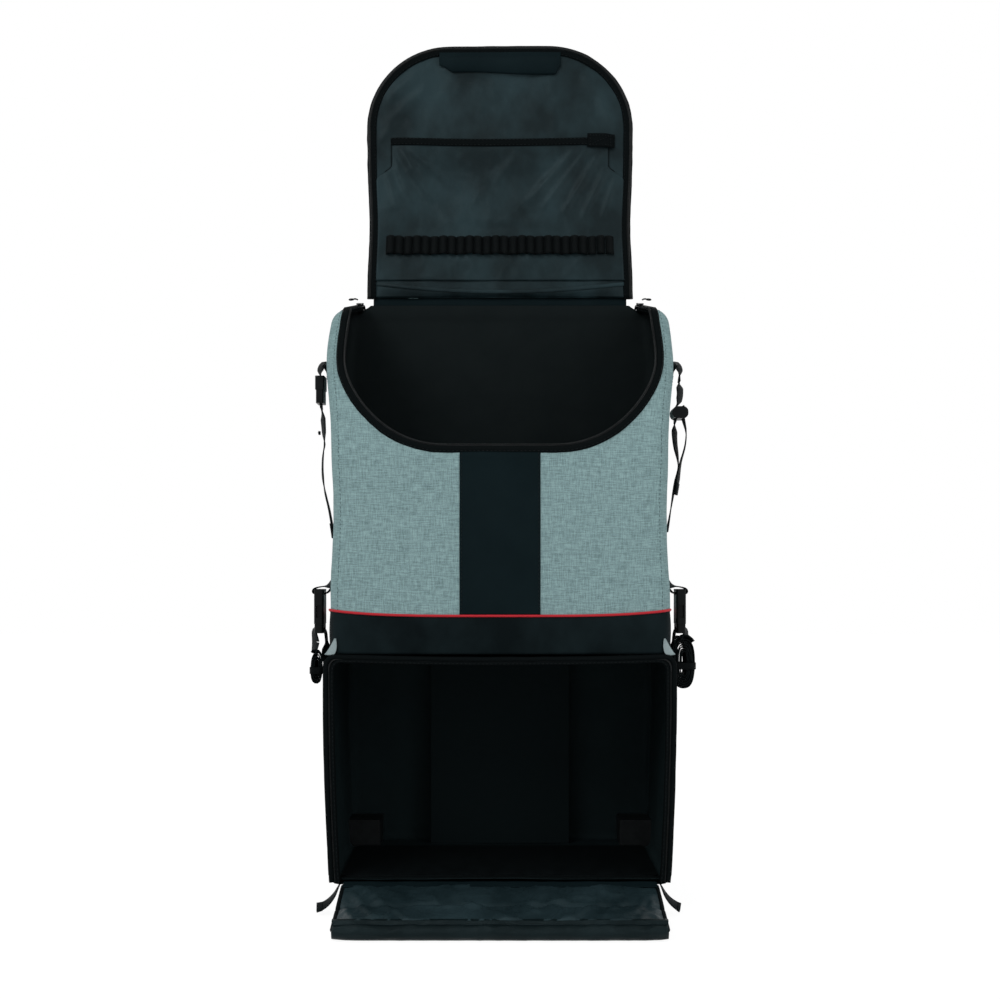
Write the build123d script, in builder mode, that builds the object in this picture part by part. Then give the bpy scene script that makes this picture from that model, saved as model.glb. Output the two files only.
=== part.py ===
from build123d import *
import os
from math import asin, atan2, cos, degrees, hypot, radians, sin, tan

# A two-part rolling art supply tote, in millimetres. +X is to the viewer's right, +Y goes
# back from the open front, +Z is up. The origin is on the ground, at the middle of the box
# that the whole object fills with its lid open and its drop door down.

# Clearances
gap = 0.3               # between pieces that move past each other
lid_gap = 0.5           # between the lid's edge and the mouth's rim
tube_gap = 0.05         # radial, between telescoping tubes and round a wheel's axle

# Rolling cart, the lower compartment
ground_gap = 40.0
cart_height = 295.0
cart_depth = 296.0
cart_half_top = 227.0
cart_half_bottom = 219.0
cart_wall = 6.0
frame_side = 14.0       # width of the bound frame beside the opening
frame_top = 8.0
frame_depth = 8.0
frame_corner = 10.0
board_thick = 3.0
board_margin = 8.0

# Drop door, two padded leaves that fold outer face to outer face
door_half = 202.0
door_leaf_low = 142.0
door_leaf_up = 148.0
door_thick = 5.0
door_corner = 12.0
door_start = 0.6        # from a hinge line to the leaf's edge

# Wheels and their corner housings
wheel_radius = 32.0
wheel_width = 30.0
tyre_thick = 8.0
tyre_chamfer = 3.0
hub_boss = 9.0
hub_web = 8.0
hub_holes = 5
axle_radius = 4.0
axle_head_radius = 7.0
axle_head = 2.0
axle_inset = 22.0       # axle in from the cart's back
wheel_side_gap = 3.0    # between a tyre and its housing's cheeks
housing_inner = 172.0
housing_cheek = 6.0
housing_front = 62.0    # reach in from the cart's back
housing_proud = 14.0    # reach behind the cart's back
housing_low = 22.0
housing_high = 84.0
housing_round = 6.0
arch_gap = 4.0
foot_x = 176.0
foot_width = 44.0
foot_depth = 34.0
foot_inset = 36.0       # foot's centre in from the front
foot_taper = 8.0

# Telescoping handle
tube_x = 75.0
tube_in = 275.0         # tube line in from the front
tube_wall = 1.45
outer_radius = 10.0
tube_foot_z = 52.0
stage_step = 3.0        # each stage starts this much higher
socket_wall = 12.0
channel_half = 100.0
channel_wall = 3.0
channel_in = 258.0
bezel_half = 105.0
bezel_depth = 34.0
bezel_thick = 5.0
bezel_chamfer = 1.5
bezel_boss_half = 97.0
bezel_boss_depth = 24.0
grip_half = 95.0
grip_depth = 26.0
grip_height = 30.0
grip_round = 9.0
grip_chamfer = 3.0
grip_gap = 2.0          # above the bezel
grip_socket = 10.0
button_length = 30.0
button_width = 12.0
button_pocket = 9.0
button_height = 9.0
button_proud = 3.0
button_chamfer = 1.0

# Tote, the upper compartment
tote_half = 219.0
tote_inset = 4.0        # front face in from the cart's front
tote_wall = 6.0
tote_round = 14.0
seam_inset = 10.0       # corner seam in from the side
base_height = 50.0
piping_size = 3.6
piping_chamfer = 1.2
piping_proud = 1.8
front_rise = 256.0      # vertical front, from the tote's bottom to the lower slope
hinge_in = 252.0        # lid hinge in from the cart's front
hinge_rise = 490.0      # above the tote's bottom
fold_in = 60.0
fold_rise = 453.0
mouth_half = 193.0
mouth_corner = 120.0
mouth_end = 14.3        # rim's inner edge, up the slope from its foot
rim_width = 12.0
rim_proud = 1.2
rim_under = 0.6
stripe_half = 52.0
stripe_thick = 1.2
sleeve_half = 103.0
sleeve_depth = 38.0
sleeve_wall = 3.0
sleeve_low = 112.0
sleeve_height = 110.0
slider_length = 14.0
slider_width = 9.0
slider_thick = 4.0
pull_length = 26.0
pull_width = 7.0
pull_thick = 1.6
slider_back = 34.0      # slider's centre, from the hinge along the slope

# Lid, two leaves that fold over the top and the upper front
lid_lean = 2.0          # degrees past upright when open
lid_thick = 5.0
lid_start = 10.0        # hinge line to the stiffened leaf
lid_band = 9.0          # bound edge
lid_band_thick = 6.2
strip_thick = 1.2
bead_radius = 1.5
pocket_half = 157.0
pocket_cloth = 1.5
pocket_top = 245.0
pocket_stand = 9.0
hem_height = 10.0
lining_half = 180.0
panel_low = 36.0
loop_count = 26
loop_pitch = 12.85
loop_height = 26.0
loop_centre = 87.0
loop_reach = 8.0
loop_cloth = 1.0
rest_low = 12.0
rest_high = 33.0
rest_thick = 3.0
handle_span = 80.0      # half of the carry handle's length
handle_rise = 34.0
handle_width = 26.0
handle_thick = 4.0
handle_at = 95.0
handle_pad = 14.0

# Webbing and buckles at the sides
strap_in = 75.0         # strap line in from the front
strap_width = 25.0
strap_thick = 2.0
buckle_out = 20.5       # buckle's middle line outside the tote's side
buckle_thick = 13.0
buckle_width = 34.0
buckle_wall = 3.0
female_low = 37.0       # above the tote's bottom
female_height = 46.0
female_throat = 33.0
male_base = 12.0
male_step = 0.5         # male half's base, inside the female half's outline all round
prong_gap = 0.6
prong_length = 25.0
prong_width = 4.0
guide_width = 6.0
bundle_out = 253.0
strap_gap = 1.0         # a slot is this much wider than its strap
sewn_length = 28.0
sewn_low = 70.0
anchor_rise = 383.0     # upper strap, above the tote's bottom
anchor_drop = 24.0
hang_bend = 15.0
clip_half = 18.0
clip_step = 1.0         # lower half's set-back from the upper half
clip_round = 2.0
clip_pocket = 7.0
lock_drop = 66.0
lock_height = 16.0
lock_thick = 21.0
lock_round = 7.0
lock_slot = 5.0
tab_width = 20.0
tab_bend = 5.0
hank_length = 62.0      # tied-up spare webbing
hank_width = 19.0

# Places worked out from the sizes above
floor_z = ground_gap
cart_top_z = floor_z + cart_height
door_drop = floor_z - door_thick - 2 * gap
door_slope = asin(door_drop / hypot(door_leaf_low, door_thick)) - atan2(door_thick, door_leaf_low)
door_reach = gap + door_leaf_low * cos(door_slope)
front_y = -(cart_depth + housing_proud - door_reach) / 2
back_y = front_y + cart_depth
axle_y = back_y - axle_inset
housing_outer = housing_inner + wheel_width + 2 * (wheel_side_gap + housing_cheek)
tote_z = cart_top_z + gap
piping_z = tote_z + base_height
cloth_z = piping_z + piping_size
hinge = (front_y + hinge_in, tote_z + hinge_rise)
fold = (front_y + fold_in, tote_z + fold_rise)
foot_of_slope = (front_y + tote_inset, tote_z + front_rise)
upper_length = hypot(hinge[0] - fold[0], hinge[1] - fold[1])
slope_length = hypot(fold[0] - foot_of_slope[0], fold[1] - foot_of_slope[1])
upper_angle = atan2(hinge[1] - fold[1], hinge[0] - fold[0])
slope_angle = atan2(fold[1] - foot_of_slope[1], fold[0] - foot_of_slope[0])
fold_angle = slope_angle - upper_angle
lower_length = slope_length - mouth_end
fold_at = upper_length - lid_thick * tan(fold_angle / 2)
lid_length = fold_at + lower_length - lid_thick * tan(fold_angle / 2) - lid_gap
tube_y = front_y + tube_in
strap_y = front_y + strap_in
sides = {"left": -1, "right": 1}

# Planes: X stays across the tote in each, and the second direction runs up the surface
slope_plane = Plane(origin=(0, *fold), x_dir=(1, 0, 0), z_dir=(0, -sin(slope_angle), cos(slope_angle)))
upper_plane = Plane(origin=(0, *fold), x_dir=(1, 0, 0), z_dir=(0, -sin(upper_angle), cos(upper_angle)))
lean = radians(lid_lean)
lid_plane = Plane(origin=(0, *hinge), x_dir=(1, 0, 0), z_dir=(0, -cos(lean), sin(lean)))
door_hinge = (front_y - gap, floor_z)
door_plane = Plane(
    origin=(0, *door_hinge), x_dir=(1, 0, 0), z_dir=(0, sin(door_slope), -cos(door_slope))
)

os.makedirs("parts", exist_ok=True)


def save(piece, name):
    piece.part.label = name
    export_step(piece.part, f"parts/{name}.step")


def cart_half(z):
    share = (z - floor_z) / cart_height
    return cart_half_bottom + (cart_half_top - cart_half_bottom) * share


def cart_trapezoid(inset, low, high, corner=0):
    """The cart's front outline between two heights, drawn in by an inset."""
    with BuildSketch(mode=Mode.PRIVATE) as outline:
        with BuildLine():
            Polyline(
                (-cart_half(low) + inset, low),
                (cart_half(low) - inset, low),
                (cart_half(high) - inset, high),
                (-cart_half(high) + inset, high),
                close=True,
            )
        make_face()
        if corner:
            fillet(outline.vertices().group_by(Axis.Y)[-1], radius=corner)
    return outline.sketch


def front_sketch_plane(y):
    """A plane facing the viewer at depth y, whose sketch is seen as the viewer sees it."""
    return Plane(origin=(0, y, 0), x_dir=(1, 0, 0), z_dir=(0, -1, 0))


def cut_housings(clearance):
    """Takes the two wheel housings' space out of the open part."""
    size = (
        housing_outer - housing_inner + 2 * clearance,
        housing_front + housing_proud + 2 * clearance,
        housing_high - housing_low + 2 * clearance,
    )
    middle = (housing_outer + housing_inner) / 2
    centre_y = back_y + (housing_proud - housing_front) / 2
    with Locations(
        (-middle, centre_y, (housing_low + housing_high) / 2),
        (middle, centre_y, (housing_low + housing_high) / 2),
    ):
        Box(*size, mode=Mode.SUBTRACT)


# Cart panels
with BuildPart() as cart_floor:
    with BuildSketch(front_sketch_plane(back_y - cart_wall)):
        add(cart_trapezoid(cart_wall, floor_z, floor_z + cart_wall))
    extrude(amount=cart_depth - cart_wall)
    cut_housings(0)
save(cart_floor, "cart_floor")

with BuildPart() as cart_top:
    with BuildSketch(front_sketch_plane(back_y - cart_wall)):
        add(cart_trapezoid(cart_wall, cart_top_z - cart_wall, cart_top_z))
    extrude(amount=cart_depth - cart_wall - frame_depth)
    with Locations((0, tube_y, cart_top_z - cart_wall / 2)):
        Box(2 * bezel_boss_half, bezel_boss_depth, cart_wall, mode=Mode.SUBTRACT)
save(cart_top, "cart_top")

with BuildPart() as cart_back:
    with BuildSketch(front_sketch_plane(back_y)):
        add(cart_trapezoid(cart_wall, floor_z, cart_top_z))
    extrude(amount=cart_wall)
    cut_housings(0)
save(cart_back, "cart_back")

for side, sign in sides.items():
    with BuildPart() as cart_side:
        with BuildSketch(front_sketch_plane(back_y)):
            with BuildLine():
                Polyline(
                    (sign * cart_half(floor_z), floor_z),
                    (sign * cart_half(cart_top_z), cart_top_z),
                    (sign * (cart_half(cart_top_z) - cart_wall), cart_top_z),
                    (sign * (cart_half(floor_z) - cart_wall), floor_z),
                    close=True,
                )
            make_face()
        extrude(amount=cart_depth - frame_depth)
        cut_housings(0)
    save(cart_side, f"cart_side_{side}")

with BuildPart() as cart_front_frame:
    with BuildSketch(front_sketch_plane(front_y + frame_depth)):
        add(cart_trapezoid(0, floor_z, cart_top_z, frame_corner))
        add(
            cart_trapezoid(frame_side, floor_z, cart_top_z - frame_top, frame_corner),
            mode=Mode.SUBTRACT,
        )
        add(cart_trapezoid(cart_wall, floor_z, floor_z + cart_wall), mode=Mode.SUBTRACT)
    extrude(amount=frame_depth)
save(cart_front_frame, "cart_front_frame")

with BuildPart() as cart_base_board:
    board_depth = cart_depth - housing_front - frame_depth - 2 * board_margin
    with BuildSketch(Plane.XY.offset(floor_z + cart_wall)):
        with Locations((0, front_y + frame_depth + board_margin + board_depth / 2)):
            RectangleRounded(2 * (cart_half_bottom - cart_wall - board_margin), board_depth, board_margin)
    extrude(amount=board_thick)
save(cart_base_board, "cart_base_board")

# Wheel housings, axles and front feet
for side, sign in sides.items():
    with BuildPart() as wheel_housing:
        with Locations(
            (
                sign * (housing_outer + housing_inner) / 2,
                back_y + (housing_proud - housing_front) / 2,
                (housing_low + housing_high) / 2,
            )
        ):
            Box(
                housing_outer - housing_inner,
                housing_front + housing_proud,
                housing_high - housing_low,
            )
        rear_edges = wheel_housing.edges().filter_by(Axis.X).group_by(Axis.Y)[-1]
        fillet(rear_edges, radius=housing_round)
        arch_width = housing_outer - housing_inner - 2 * housing_cheek
        with BuildSketch(Plane.YZ.offset(sign * (housing_outer + housing_inner) / 2 - arch_width / 2)):
            with Locations((axle_y, wheel_radius)):
                Circle(wheel_radius + arch_gap)
            with Locations((axle_y, wheel_radius / 2)):
                Rectangle(2 * (wheel_radius + arch_gap), wheel_radius)
        extrude(amount=arch_width, mode=Mode.SUBTRACT)
        with BuildSketch(Plane.YZ.offset(sign * (housing_outer + housing_inner) / 2 - housing_outer / 2)):
            with Locations((axle_y, wheel_radius)):
                Circle(axle_radius)
        extrude(amount=housing_outer, mode=Mode.SUBTRACT)
    save(wheel_housing, f"wheel_housing_{side}")

with BuildPart() as wheel_axles:
    for sign in sides.values():
        with BuildSketch(Plane.YZ.offset(sign * housing_inner)):
            with Locations((axle_y, wheel_radius)):
                Circle(axle_radius)
        extrude(amount=sign * (housing_outer - housing_inner))
        with BuildSketch(Plane.YZ.offset(sign * housing_outer)):
            with Locations((axle_y, wheel_radius)):
                Circle(axle_head_radius)
        extrude(amount=sign * axle_head)
save(wheel_axles, "wheel_axles")

for side, sign in sides.items():
    wheel_middle = sign * (housing_outer + housing_inner) / 2
    with BuildPart() as tyre:
        with BuildSketch(Plane.YZ.offset(wheel_middle - wheel_width / 2)):
            with Locations((axle_y, wheel_radius)):
                Circle(wheel_radius)
                Circle(wheel_radius - tyre_thick, mode=Mode.SUBTRACT)
        extrude(amount=wheel_width)
        tread_edges = tyre.edges().filter_by(GeomType.CIRCLE).sort_by(SortBy.RADIUS)[-2:]
        chamfer(tread_edges, length=tyre_chamfer)
    save(tyre, f"tyre_{side}")

    with BuildPart() as hub:
        with BuildSketch(Plane.YZ.offset(wheel_middle - wheel_width / 2)):
            with Locations((axle_y, wheel_radius)):
                Circle(wheel_radius - tyre_thick)
        extrude(amount=wheel_width)
        recess = (wheel_width - hub_web) / 2
        for face_x, turn in ((wheel_middle - wheel_width / 2, 1), (wheel_middle + wheel_width / 2, -1)):
            with BuildSketch(Plane.YZ.offset(face_x)):
                with Locations((axle_y, wheel_radius)):
                    Circle(wheel_radius - tyre_thick - arch_gap)
                    Circle(hub_boss, mode=Mode.SUBTRACT)
            extrude(amount=turn * recess, mode=Mode.SUBTRACT)
        with BuildSketch(Plane.YZ.offset(wheel_middle - hub_web / 2)):
            with Locations((axle_y, wheel_radius)):
                with PolarLocations((wheel_radius - tyre_thick + hub_boss - arch_gap) / 2, hub_holes):
                    Circle(arch_gap)
        extrude(amount=hub_web, mode=Mode.SUBTRACT)
        with BuildSketch(Plane.YZ.offset(wheel_middle - wheel_width / 2)):
            with Locations((axle_y, wheel_radius)):
                Circle(axle_radius + tube_gap)
        extrude(amount=wheel_width, mode=Mode.SUBTRACT)
    save(hub, f"wheel_hub_{side}")

with BuildPart() as front_feet:
    with BuildSketch(Plane.XY.offset(floor_z)):
        with Locations((-foot_x, front_y + foot_inset), (foot_x, front_y + foot_inset)):
            RectangleRounded(foot_width, foot_depth, foot_taper)
    extrude(amount=-floor_z, taper=foot_taper)
save(front_feet, "front_feet")

# Telescoping handle
outer_top = cart_top_z - cart_wall
mid_radius = outer_radius - tube_wall - tube_gap
inner_radius = mid_radius - tube_wall - tube_gap
bezel_top = cart_top_z + bezel_thick
grip_low = bezel_top + grip_gap


def tube_section(radius):
    """The section of two round tubes on the handle's lines."""
    with BuildSketch(mode=Mode.PRIVATE) as section:
        with Locations((-tube_x, tube_y), (tube_x, tube_y)):
            Circle(radius)
            Circle(radius - tube_wall, mode=Mode.SUBTRACT)
    return section.sketch


with BuildPart() as handle_outer_tubes:
    with BuildSketch(Plane.XY.offset(tube_foot_z)):
        add(tube_section(outer_radius))
    extrude(amount=outer_top - tube_foot_z)
save(handle_outer_tubes, "handle_outer_tubes")

with BuildPart() as handle_mid_tubes:
    with BuildSketch(Plane.XY.offset(tube_foot_z + stage_step)):
        add(tube_section(mid_radius))
    extrude(amount=grip_low - gap - tube_foot_z - stage_step)
save(handle_mid_tubes, "handle_mid_tubes")

with BuildPart() as handle_inner_tubes:
    with BuildSketch(Plane.XY.offset(tube_foot_z + 2 * stage_step)):
        add(tube_section(inner_radius))
    extrude(amount=grip_low + grip_socket - tube_foot_z - 2 * stage_step)
save(handle_inner_tubes, "handle_inner_tubes")

with BuildPart() as handle_foot:
    foot_block_low = floor_z + cart_wall
    with BuildSketch(Plane.XY.offset(foot_block_low)):
        with Locations((0, tube_y)):
            RectangleRounded(2 * (tube_x + outer_radius + stage_step), bezel_boss_depth, outer_radius)
    extrude(amount=tube_foot_z + socket_wall - foot_block_low)
    with BuildSketch(Plane.XY.offset(tube_foot_z)):
        with Locations((-tube_x, tube_y), (tube_x, tube_y)):
            Circle(outer_radius)
    extrude(amount=socket_wall, mode=Mode.SUBTRACT)
save(handle_foot, "handle_foot")

with BuildPart() as handle_bezel:
    with BuildSketch(Plane.XY.offset(cart_top_z)):
        with Locations((0, tube_y)):
            RectangleRounded(2 * bezel_half, bezel_depth, outer_radius)
    extrude(amount=bezel_thick)
    chamfer(handle_bezel.faces().sort_by(Axis.Z)[-1].edges(), length=bezel_chamfer)
    with BuildSketch(Plane.XY.offset(cart_top_z - cart_wall)):
        with Locations((0, tube_y)):
            Rectangle(2 * bezel_boss_half, bezel_boss_depth)
    extrude(amount=cart_wall)
    with BuildSketch(Plane.XY.offset(cart_top_z - cart_wall)):
        with Locations((-tube_x, tube_y), (tube_x, tube_y)):
            Circle(mid_radius + gap)
    extrude(amount=cart_wall + bezel_thick, mode=Mode.SUBTRACT)
save(handle_bezel, "handle_bezel")

with BuildPart() as tube_channel:
    channel_reach = back_y - cart_wall - (front_y + channel_in)
    with BuildSketch(Plane.XY.offset(floor_z + cart_wall)):
        with Locations((0, front_y + channel_in + channel_reach / 2)):
            Rectangle(2 * channel_half, channel_reach)
        with Locations((0, front_y + channel_in + channel_wall + channel_reach / 2)):
            Rectangle(2 * (channel_half - channel_wall), channel_reach, mode=Mode.SUBTRACT)
    extrude(amount=outer_top - floor_z - cart_wall)
save(tube_channel, "tube_channel")

with BuildPart() as handle_grip:
    with BuildSketch(Plane.YZ.offset(-grip_half)):
        with Locations((tube_y, grip_low + grip_height / 2)):
            RectangleRounded(grip_depth, grip_height, grip_round)
    extrude(amount=2 * grip_half)
    chamfer(handle_grip.edges().filter_by(GeomType.CIRCLE), length=grip_chamfer)
    with BuildSketch(Plane.XY.offset(grip_low)):
        with Locations((-tube_x, tube_y), (tube_x, tube_y)):
            Circle(inner_radius)
    extrude(amount=grip_socket, mode=Mode.SUBTRACT)
    with BuildSketch(Plane.XY.offset(grip_low + grip_height)):
        with Locations((0, tube_y)):
            RectangleRounded(button_length, button_width, stage_step)
    extrude(amount=-button_pocket, mode=Mode.SUBTRACT)
save(handle_grip, "handle_grip")

with BuildPart() as handle_button:
    with BuildSketch(Plane.XY.offset(grip_low + grip_height + button_proud)):
        with Locations((0, tube_y)):
            RectangleRounded(button_length - 2 * gap, button_width - 2 * gap, stage_step - gap)
    extrude(amount=-button_height)
    chamfer(handle_button.faces().sort_by(Axis.Z)[-1].edges(), length=button_chamfer)
save(handle_button, "handle_button")

# Drop door
with BuildPart() as door_lower_leaf:
    with BuildSketch(door_plane):
        with Locations((0, (door_start + door_leaf_low) / 2)):
            Rectangle(2 * door_half, door_leaf_low - door_start)
    extrude(amount=door_thick)
save(door_lower_leaf, "door_lower_leaf")

door_fold_point = (
    door_hinge[0] - door_leaf_low * cos(door_slope) + (door_thick + gap) * sin(door_slope),
    door_thick + gap,
)
with BuildPart() as door_upper_leaf:
    with BuildSketch(Plane.XY) as upper_outline:
        with Locations((0, door_fold_point[0] + door_start + door_leaf_up / 2)):
            Rectangle(2 * door_half, door_leaf_up)
        fillet(upper_outline.vertices().group_by(Axis.Y)[-1], radius=door_corner)
    extrude(amount=door_thick)
save(door_upper_leaf, "door_upper_leaf")


# Tote shell
def tote_form(inset):
    """The tote's closed outer shape, drawn in by an inset all round."""
    with BuildPart() as form:
        with BuildSketch(Plane.YZ.offset(-(tote_half - inset))):
            with BuildLine():
                Polyline(
                    (front_y + tote_inset, tote_z),
                    foot_of_slope,
                    fold,
                    hinge,
                    (hinge[0], tote_z),
                    close=True,
                )
            make_face()
            if inset:
                offset(amount=-inset, kind=Kind.INTERSECTION, mode=Mode.REPLACE)
        extrude(amount=2 * (tote_half - inset))
        for end_face in (form.faces().sort_by(Axis.X)[0], form.faces().sort_by(Axis.X)[-1]):
            fillet(end_face.edges().sort_by(Axis.Z)[1:], radius=tote_round - inset)
    return form.part


tote_back_in = hinge[0] - tote_wall
mouth_back = tote_back_in - lid_gap


def mouth_prism(half, end, corner, under, over):
    """A U-shaped prism through the lower slope, and its straight run along the upper one."""
    with BuildPart() as prism:
        with BuildSketch(slope_plane.offset(-under)) as u_shape:
            with Locations((0, (end - slope_length) / 2 + rim_width)):
                Rectangle(2 * half, slope_length - end + 2 * rim_width)
            fillet(u_shape.vertices().group_by(Axis.Y)[0], radius=corner)
        extrude(amount=under + over)
        with BuildSketch(upper_plane.offset(-under)):
            with Locations((0, (upper_length - rim_width) / 2)):
                Rectangle(2 * half, upper_length + rim_width)
        extrude(amount=under + over)
        behind_mouth = 4 * rim_width
        with Locations((0, mouth_back + behind_mouth / 2, hinge[1])):
            Box(2 * tote_half, behind_mouth, 2 * behind_mouth, mode=Mode.SUBTRACT)
    return prism.part


outer_form = tote_form(0)
inner_form = tote_form(tote_wall)
rim_outer_form = tote_form(-rim_proud)
rim_inner_form = tote_form(tote_wall + rim_under)
mouth_under = tote_wall + 2 * bead_radius
mouth_cut = mouth_prism(
    mouth_half + rim_width, mouth_end - rim_width, mouth_corner + rim_width, mouth_under, mouth_under
)
lid_prism = mouth_prism(mouth_half, mouth_end, mouth_corner, 2 * mouth_under, 2 * mouth_under)
seam_x = tote_half - seam_inset


def keep_box(low, high):
    """Keeps only what lies inside a box, given by two corners."""
    size = [b - a for a, b in zip(low, high)]
    with Locations(tuple((a + b) / 2 for a, b in zip(low, high))):
        Box(*size, mode=Mode.INTERSECT)


far = tote_half + hinge_rise    # beyond any wall of the tote
with BuildPart() as tote_base:
    add(outer_form)
    add(inner_form, mode=Mode.SUBTRACT)
    keep_box((-far, -far, 0), (far, far, piping_z))
save(tote_base, "tote_base")

with BuildPart() as tote_base_board:
    with BuildSketch(Plane.XY.offset(tote_z + tote_wall)):
        with Locations((0, (front_y + tote_inset + hinge[0]) / 2)):
            RectangleRounded(
                2 * (tote_half - tote_wall - board_thick),
                hinge_in - tote_inset - 2 * (tote_wall + board_thick),
                tote_round - tote_wall,
            )
    extrude(amount=board_thick)
save(tote_base_board, "tote_base_board")

with BuildPart() as tote_piping:
    piping_depth = hinge_in - tote_inset
    with BuildSketch(Plane.XY.offset(piping_z)):
        with Locations((0, (front_y + tote_inset + hinge[0]) / 2)):
            RectangleRounded(
                2 * (tote_half + piping_proud), piping_depth + 2 * piping_proud, tote_round + piping_proud
            )
    extrude(amount=piping_size)
    outer_rims = tote_piping.edges().group_by(Axis.Z)
    chamfer(outer_rims[0] + outer_rims[-1], length=piping_chamfer)
    with BuildSketch(Plane.XY.offset(piping_z)):
        with Locations((0, (front_y + tote_inset + hinge[0]) / 2)):
            RectangleRounded(
                2 * (tote_half - tote_wall), piping_depth - 2 * tote_wall, tote_round - tote_wall
            )
    extrude(amount=piping_size, mode=Mode.SUBTRACT)
save(tote_piping, "tote_piping")

for side, sign in sides.items():
    with BuildPart() as tote_side:
        add(outer_form)
        add(inner_form, mode=Mode.SUBTRACT)
        near, out = sorted((sign * seam_x, sign * far))
        keep_box((near, -far, cloth_z), (out, far, 2 * far))
        add(mouth_cut, mode=Mode.SUBTRACT)
    save(tote_side, f"tote_side_{side}")

with BuildPart() as tote_front:
    add(outer_form)
    add(inner_form, mode=Mode.SUBTRACT)
    keep_box((-seam_x, -far, cloth_z), (seam_x, mouth_back, 2 * far))
    add(mouth_cut, mode=Mode.SUBTRACT)
save(tote_front, "tote_front")

with BuildPart() as tote_back:
    add(outer_form)
    add(inner_form, mode=Mode.SUBTRACT)
    keep_box((-seam_x, tote_back_in, cloth_z), (seam_x, far, 2 * far))
    with BuildSketch(upper_plane.offset(-strip_thick - gap)):
        with Locations((0, upper_length)):
            Rectangle(2 * mouth_half, 2 * lid_start)
    extrude(amount=lid_start, mode=Mode.SUBTRACT)
    with BuildSketch(Plane.YZ.offset(-mouth_half)):
        with Locations(hinge):
            Circle(bead_radius + gap)
    extrude(amount=2 * mouth_half, mode=Mode.SUBTRACT)
save(tote_back, "tote_back")

with BuildPart() as tote_rim:
    add(rim_outer_form)
    add(rim_inner_form, mode=Mode.SUBTRACT)
    add(mouth_cut, mode=Mode.INTERSECT)
    add(lid_prism, mode=Mode.SUBTRACT)
save(tote_rim, "tote_rim")

with BuildPart() as tote_stripe:
    stripe_top = foot_of_slope[1]
    with BuildSketch(front_sketch_plane(front_y + tote_inset)):
        with Locations((0, (cloth_z + stripe_top) / 2)):
            Rectangle(2 * stripe_half, stripe_top - cloth_z)
    extrude(amount=stripe_thick)
save(tote_stripe, "tote_stripe")

with BuildPart() as trolley_sleeve:
    with BuildSketch(Plane.XY.offset(tote_z + sleeve_low)):
        with Locations((0, hinge[0] + (sleeve_depth + sleeve_wall) / 2)):
            Rectangle(2 * (sleeve_half + sleeve_wall), sleeve_depth + sleeve_wall)
        with Locations((0, hinge[0] + sleeve_depth / 2)):
            Rectangle(2 * sleeve_half, sleeve_depth, mode=Mode.SUBTRACT)
    extrude(amount=sleeve_height)
    corners = trolley_sleeve.edges().filter_by(Axis.Z).group_by(Axis.Y)[-1]
    fillet(corners, radius=sleeve_wall - gap)
save(trolley_sleeve, "trolley_sleeve")

with BuildPart() as zipper_sliders:
    slider_middle = mouth_half + rim_width / 2
    slider_at = upper_length - slider_back
    with BuildSketch(upper_plane.offset(rim_proud)):
        with Locations((-slider_middle, slider_at), (slider_middle, slider_at)):
            RectangleRounded(slider_width, slider_length, slider_thick)
    extrude(amount=slider_thick)
    with BuildSketch(upper_plane.offset(rim_proud + slider_thick - pull_thick)):
        pull_at = slider_at - (slider_length + pull_length) / 2 + slider_thick
        with Locations((-slider_middle, pull_at), (slider_middle, pull_at)):
            RectangleRounded(pull_width, pull_length, slider_thick / 2)
    extrude(amount=pull_thick)
save(zipper_sliders, "zipper_sliders")


# Lid
def lid_outline(half, corner, low, high):
    """Adds the lid's outline between two distances from the hinge, rounded at the far end."""
    with BuildSketch(mode=Mode.PRIVATE) as outline:
        with Locations((0, (low + high) / 2)):
            Rectangle(2 * half, high - low)
        if corner:
            fillet(outline.vertices().group_by(Axis.Y)[-1], radius=corner)
    return outline.sketch


lid_half = mouth_half - lid_gap
panel_edge = lid_half - lid_band
band_mitre = (lid_band_thick - lid_thick) * tan(fold_angle / 2) + gap
cloth_mitre = (pocket_cloth + pocket_cloth) * tan(fold_angle / 2) + gap

with BuildPart() as lid_rear_panel:
    with BuildSketch(lid_plane):
        add(lid_outline(panel_edge, 0, lid_start, fold_at - gap))
    extrude(amount=lid_thick)
save(lid_rear_panel, "lid_rear_panel")

with BuildPart() as lid_hinge_strip:
    with BuildSketch(lid_plane):
        add(lid_outline(panel_edge, 0, 0, lid_start))
    extrude(amount=strip_thick)
    with BuildSketch(Plane.YZ.offset(-panel_edge)):
        with Locations(hinge):
            Circle(bead_radius)
    extrude(amount=2 * panel_edge)
save(lid_hinge_strip, "lid_hinge_strip")

with BuildPart() as lid_rear_band:
    with BuildSketch(lid_plane):
        add(lid_outline(lid_half, 0, lid_start, fold_at - band_mitre))
        add(lid_outline(panel_edge, 0, lid_start, fold_at - band_mitre), mode=Mode.SUBTRACT)
    extrude(amount=lid_band_thick)
save(lid_rear_band, "lid_rear_band")

with BuildPart() as lid_front_panel:
    with BuildSketch(lid_plane):
        add(lid_outline(panel_edge, mouth_corner - lid_band, fold_at + gap, lid_length - lid_band))
    extrude(amount=lid_thick)
save(lid_front_panel, "lid_front_panel")

with BuildPart() as lid_front_band:
    with BuildSketch(lid_plane):
        add(lid_outline(lid_half, mouth_corner, fold_at + band_mitre, lid_length))
        add(
            lid_outline(panel_edge, mouth_corner - lid_band, fold_at, lid_length - lid_band),
            mode=Mode.SUBTRACT,
        )
    extrude(amount=lid_band_thick)
save(lid_front_band, "lid_front_band")

with BuildPart() as lid_panel_cloth:
    with BuildSketch(lid_plane.offset(lid_thick)):
        add(lid_outline(lining_half, 0, panel_low, fold_at - cloth_mitre))
    extrude(amount=pocket_cloth)
save(lid_panel_cloth, "lid_panel_cloth")

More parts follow.
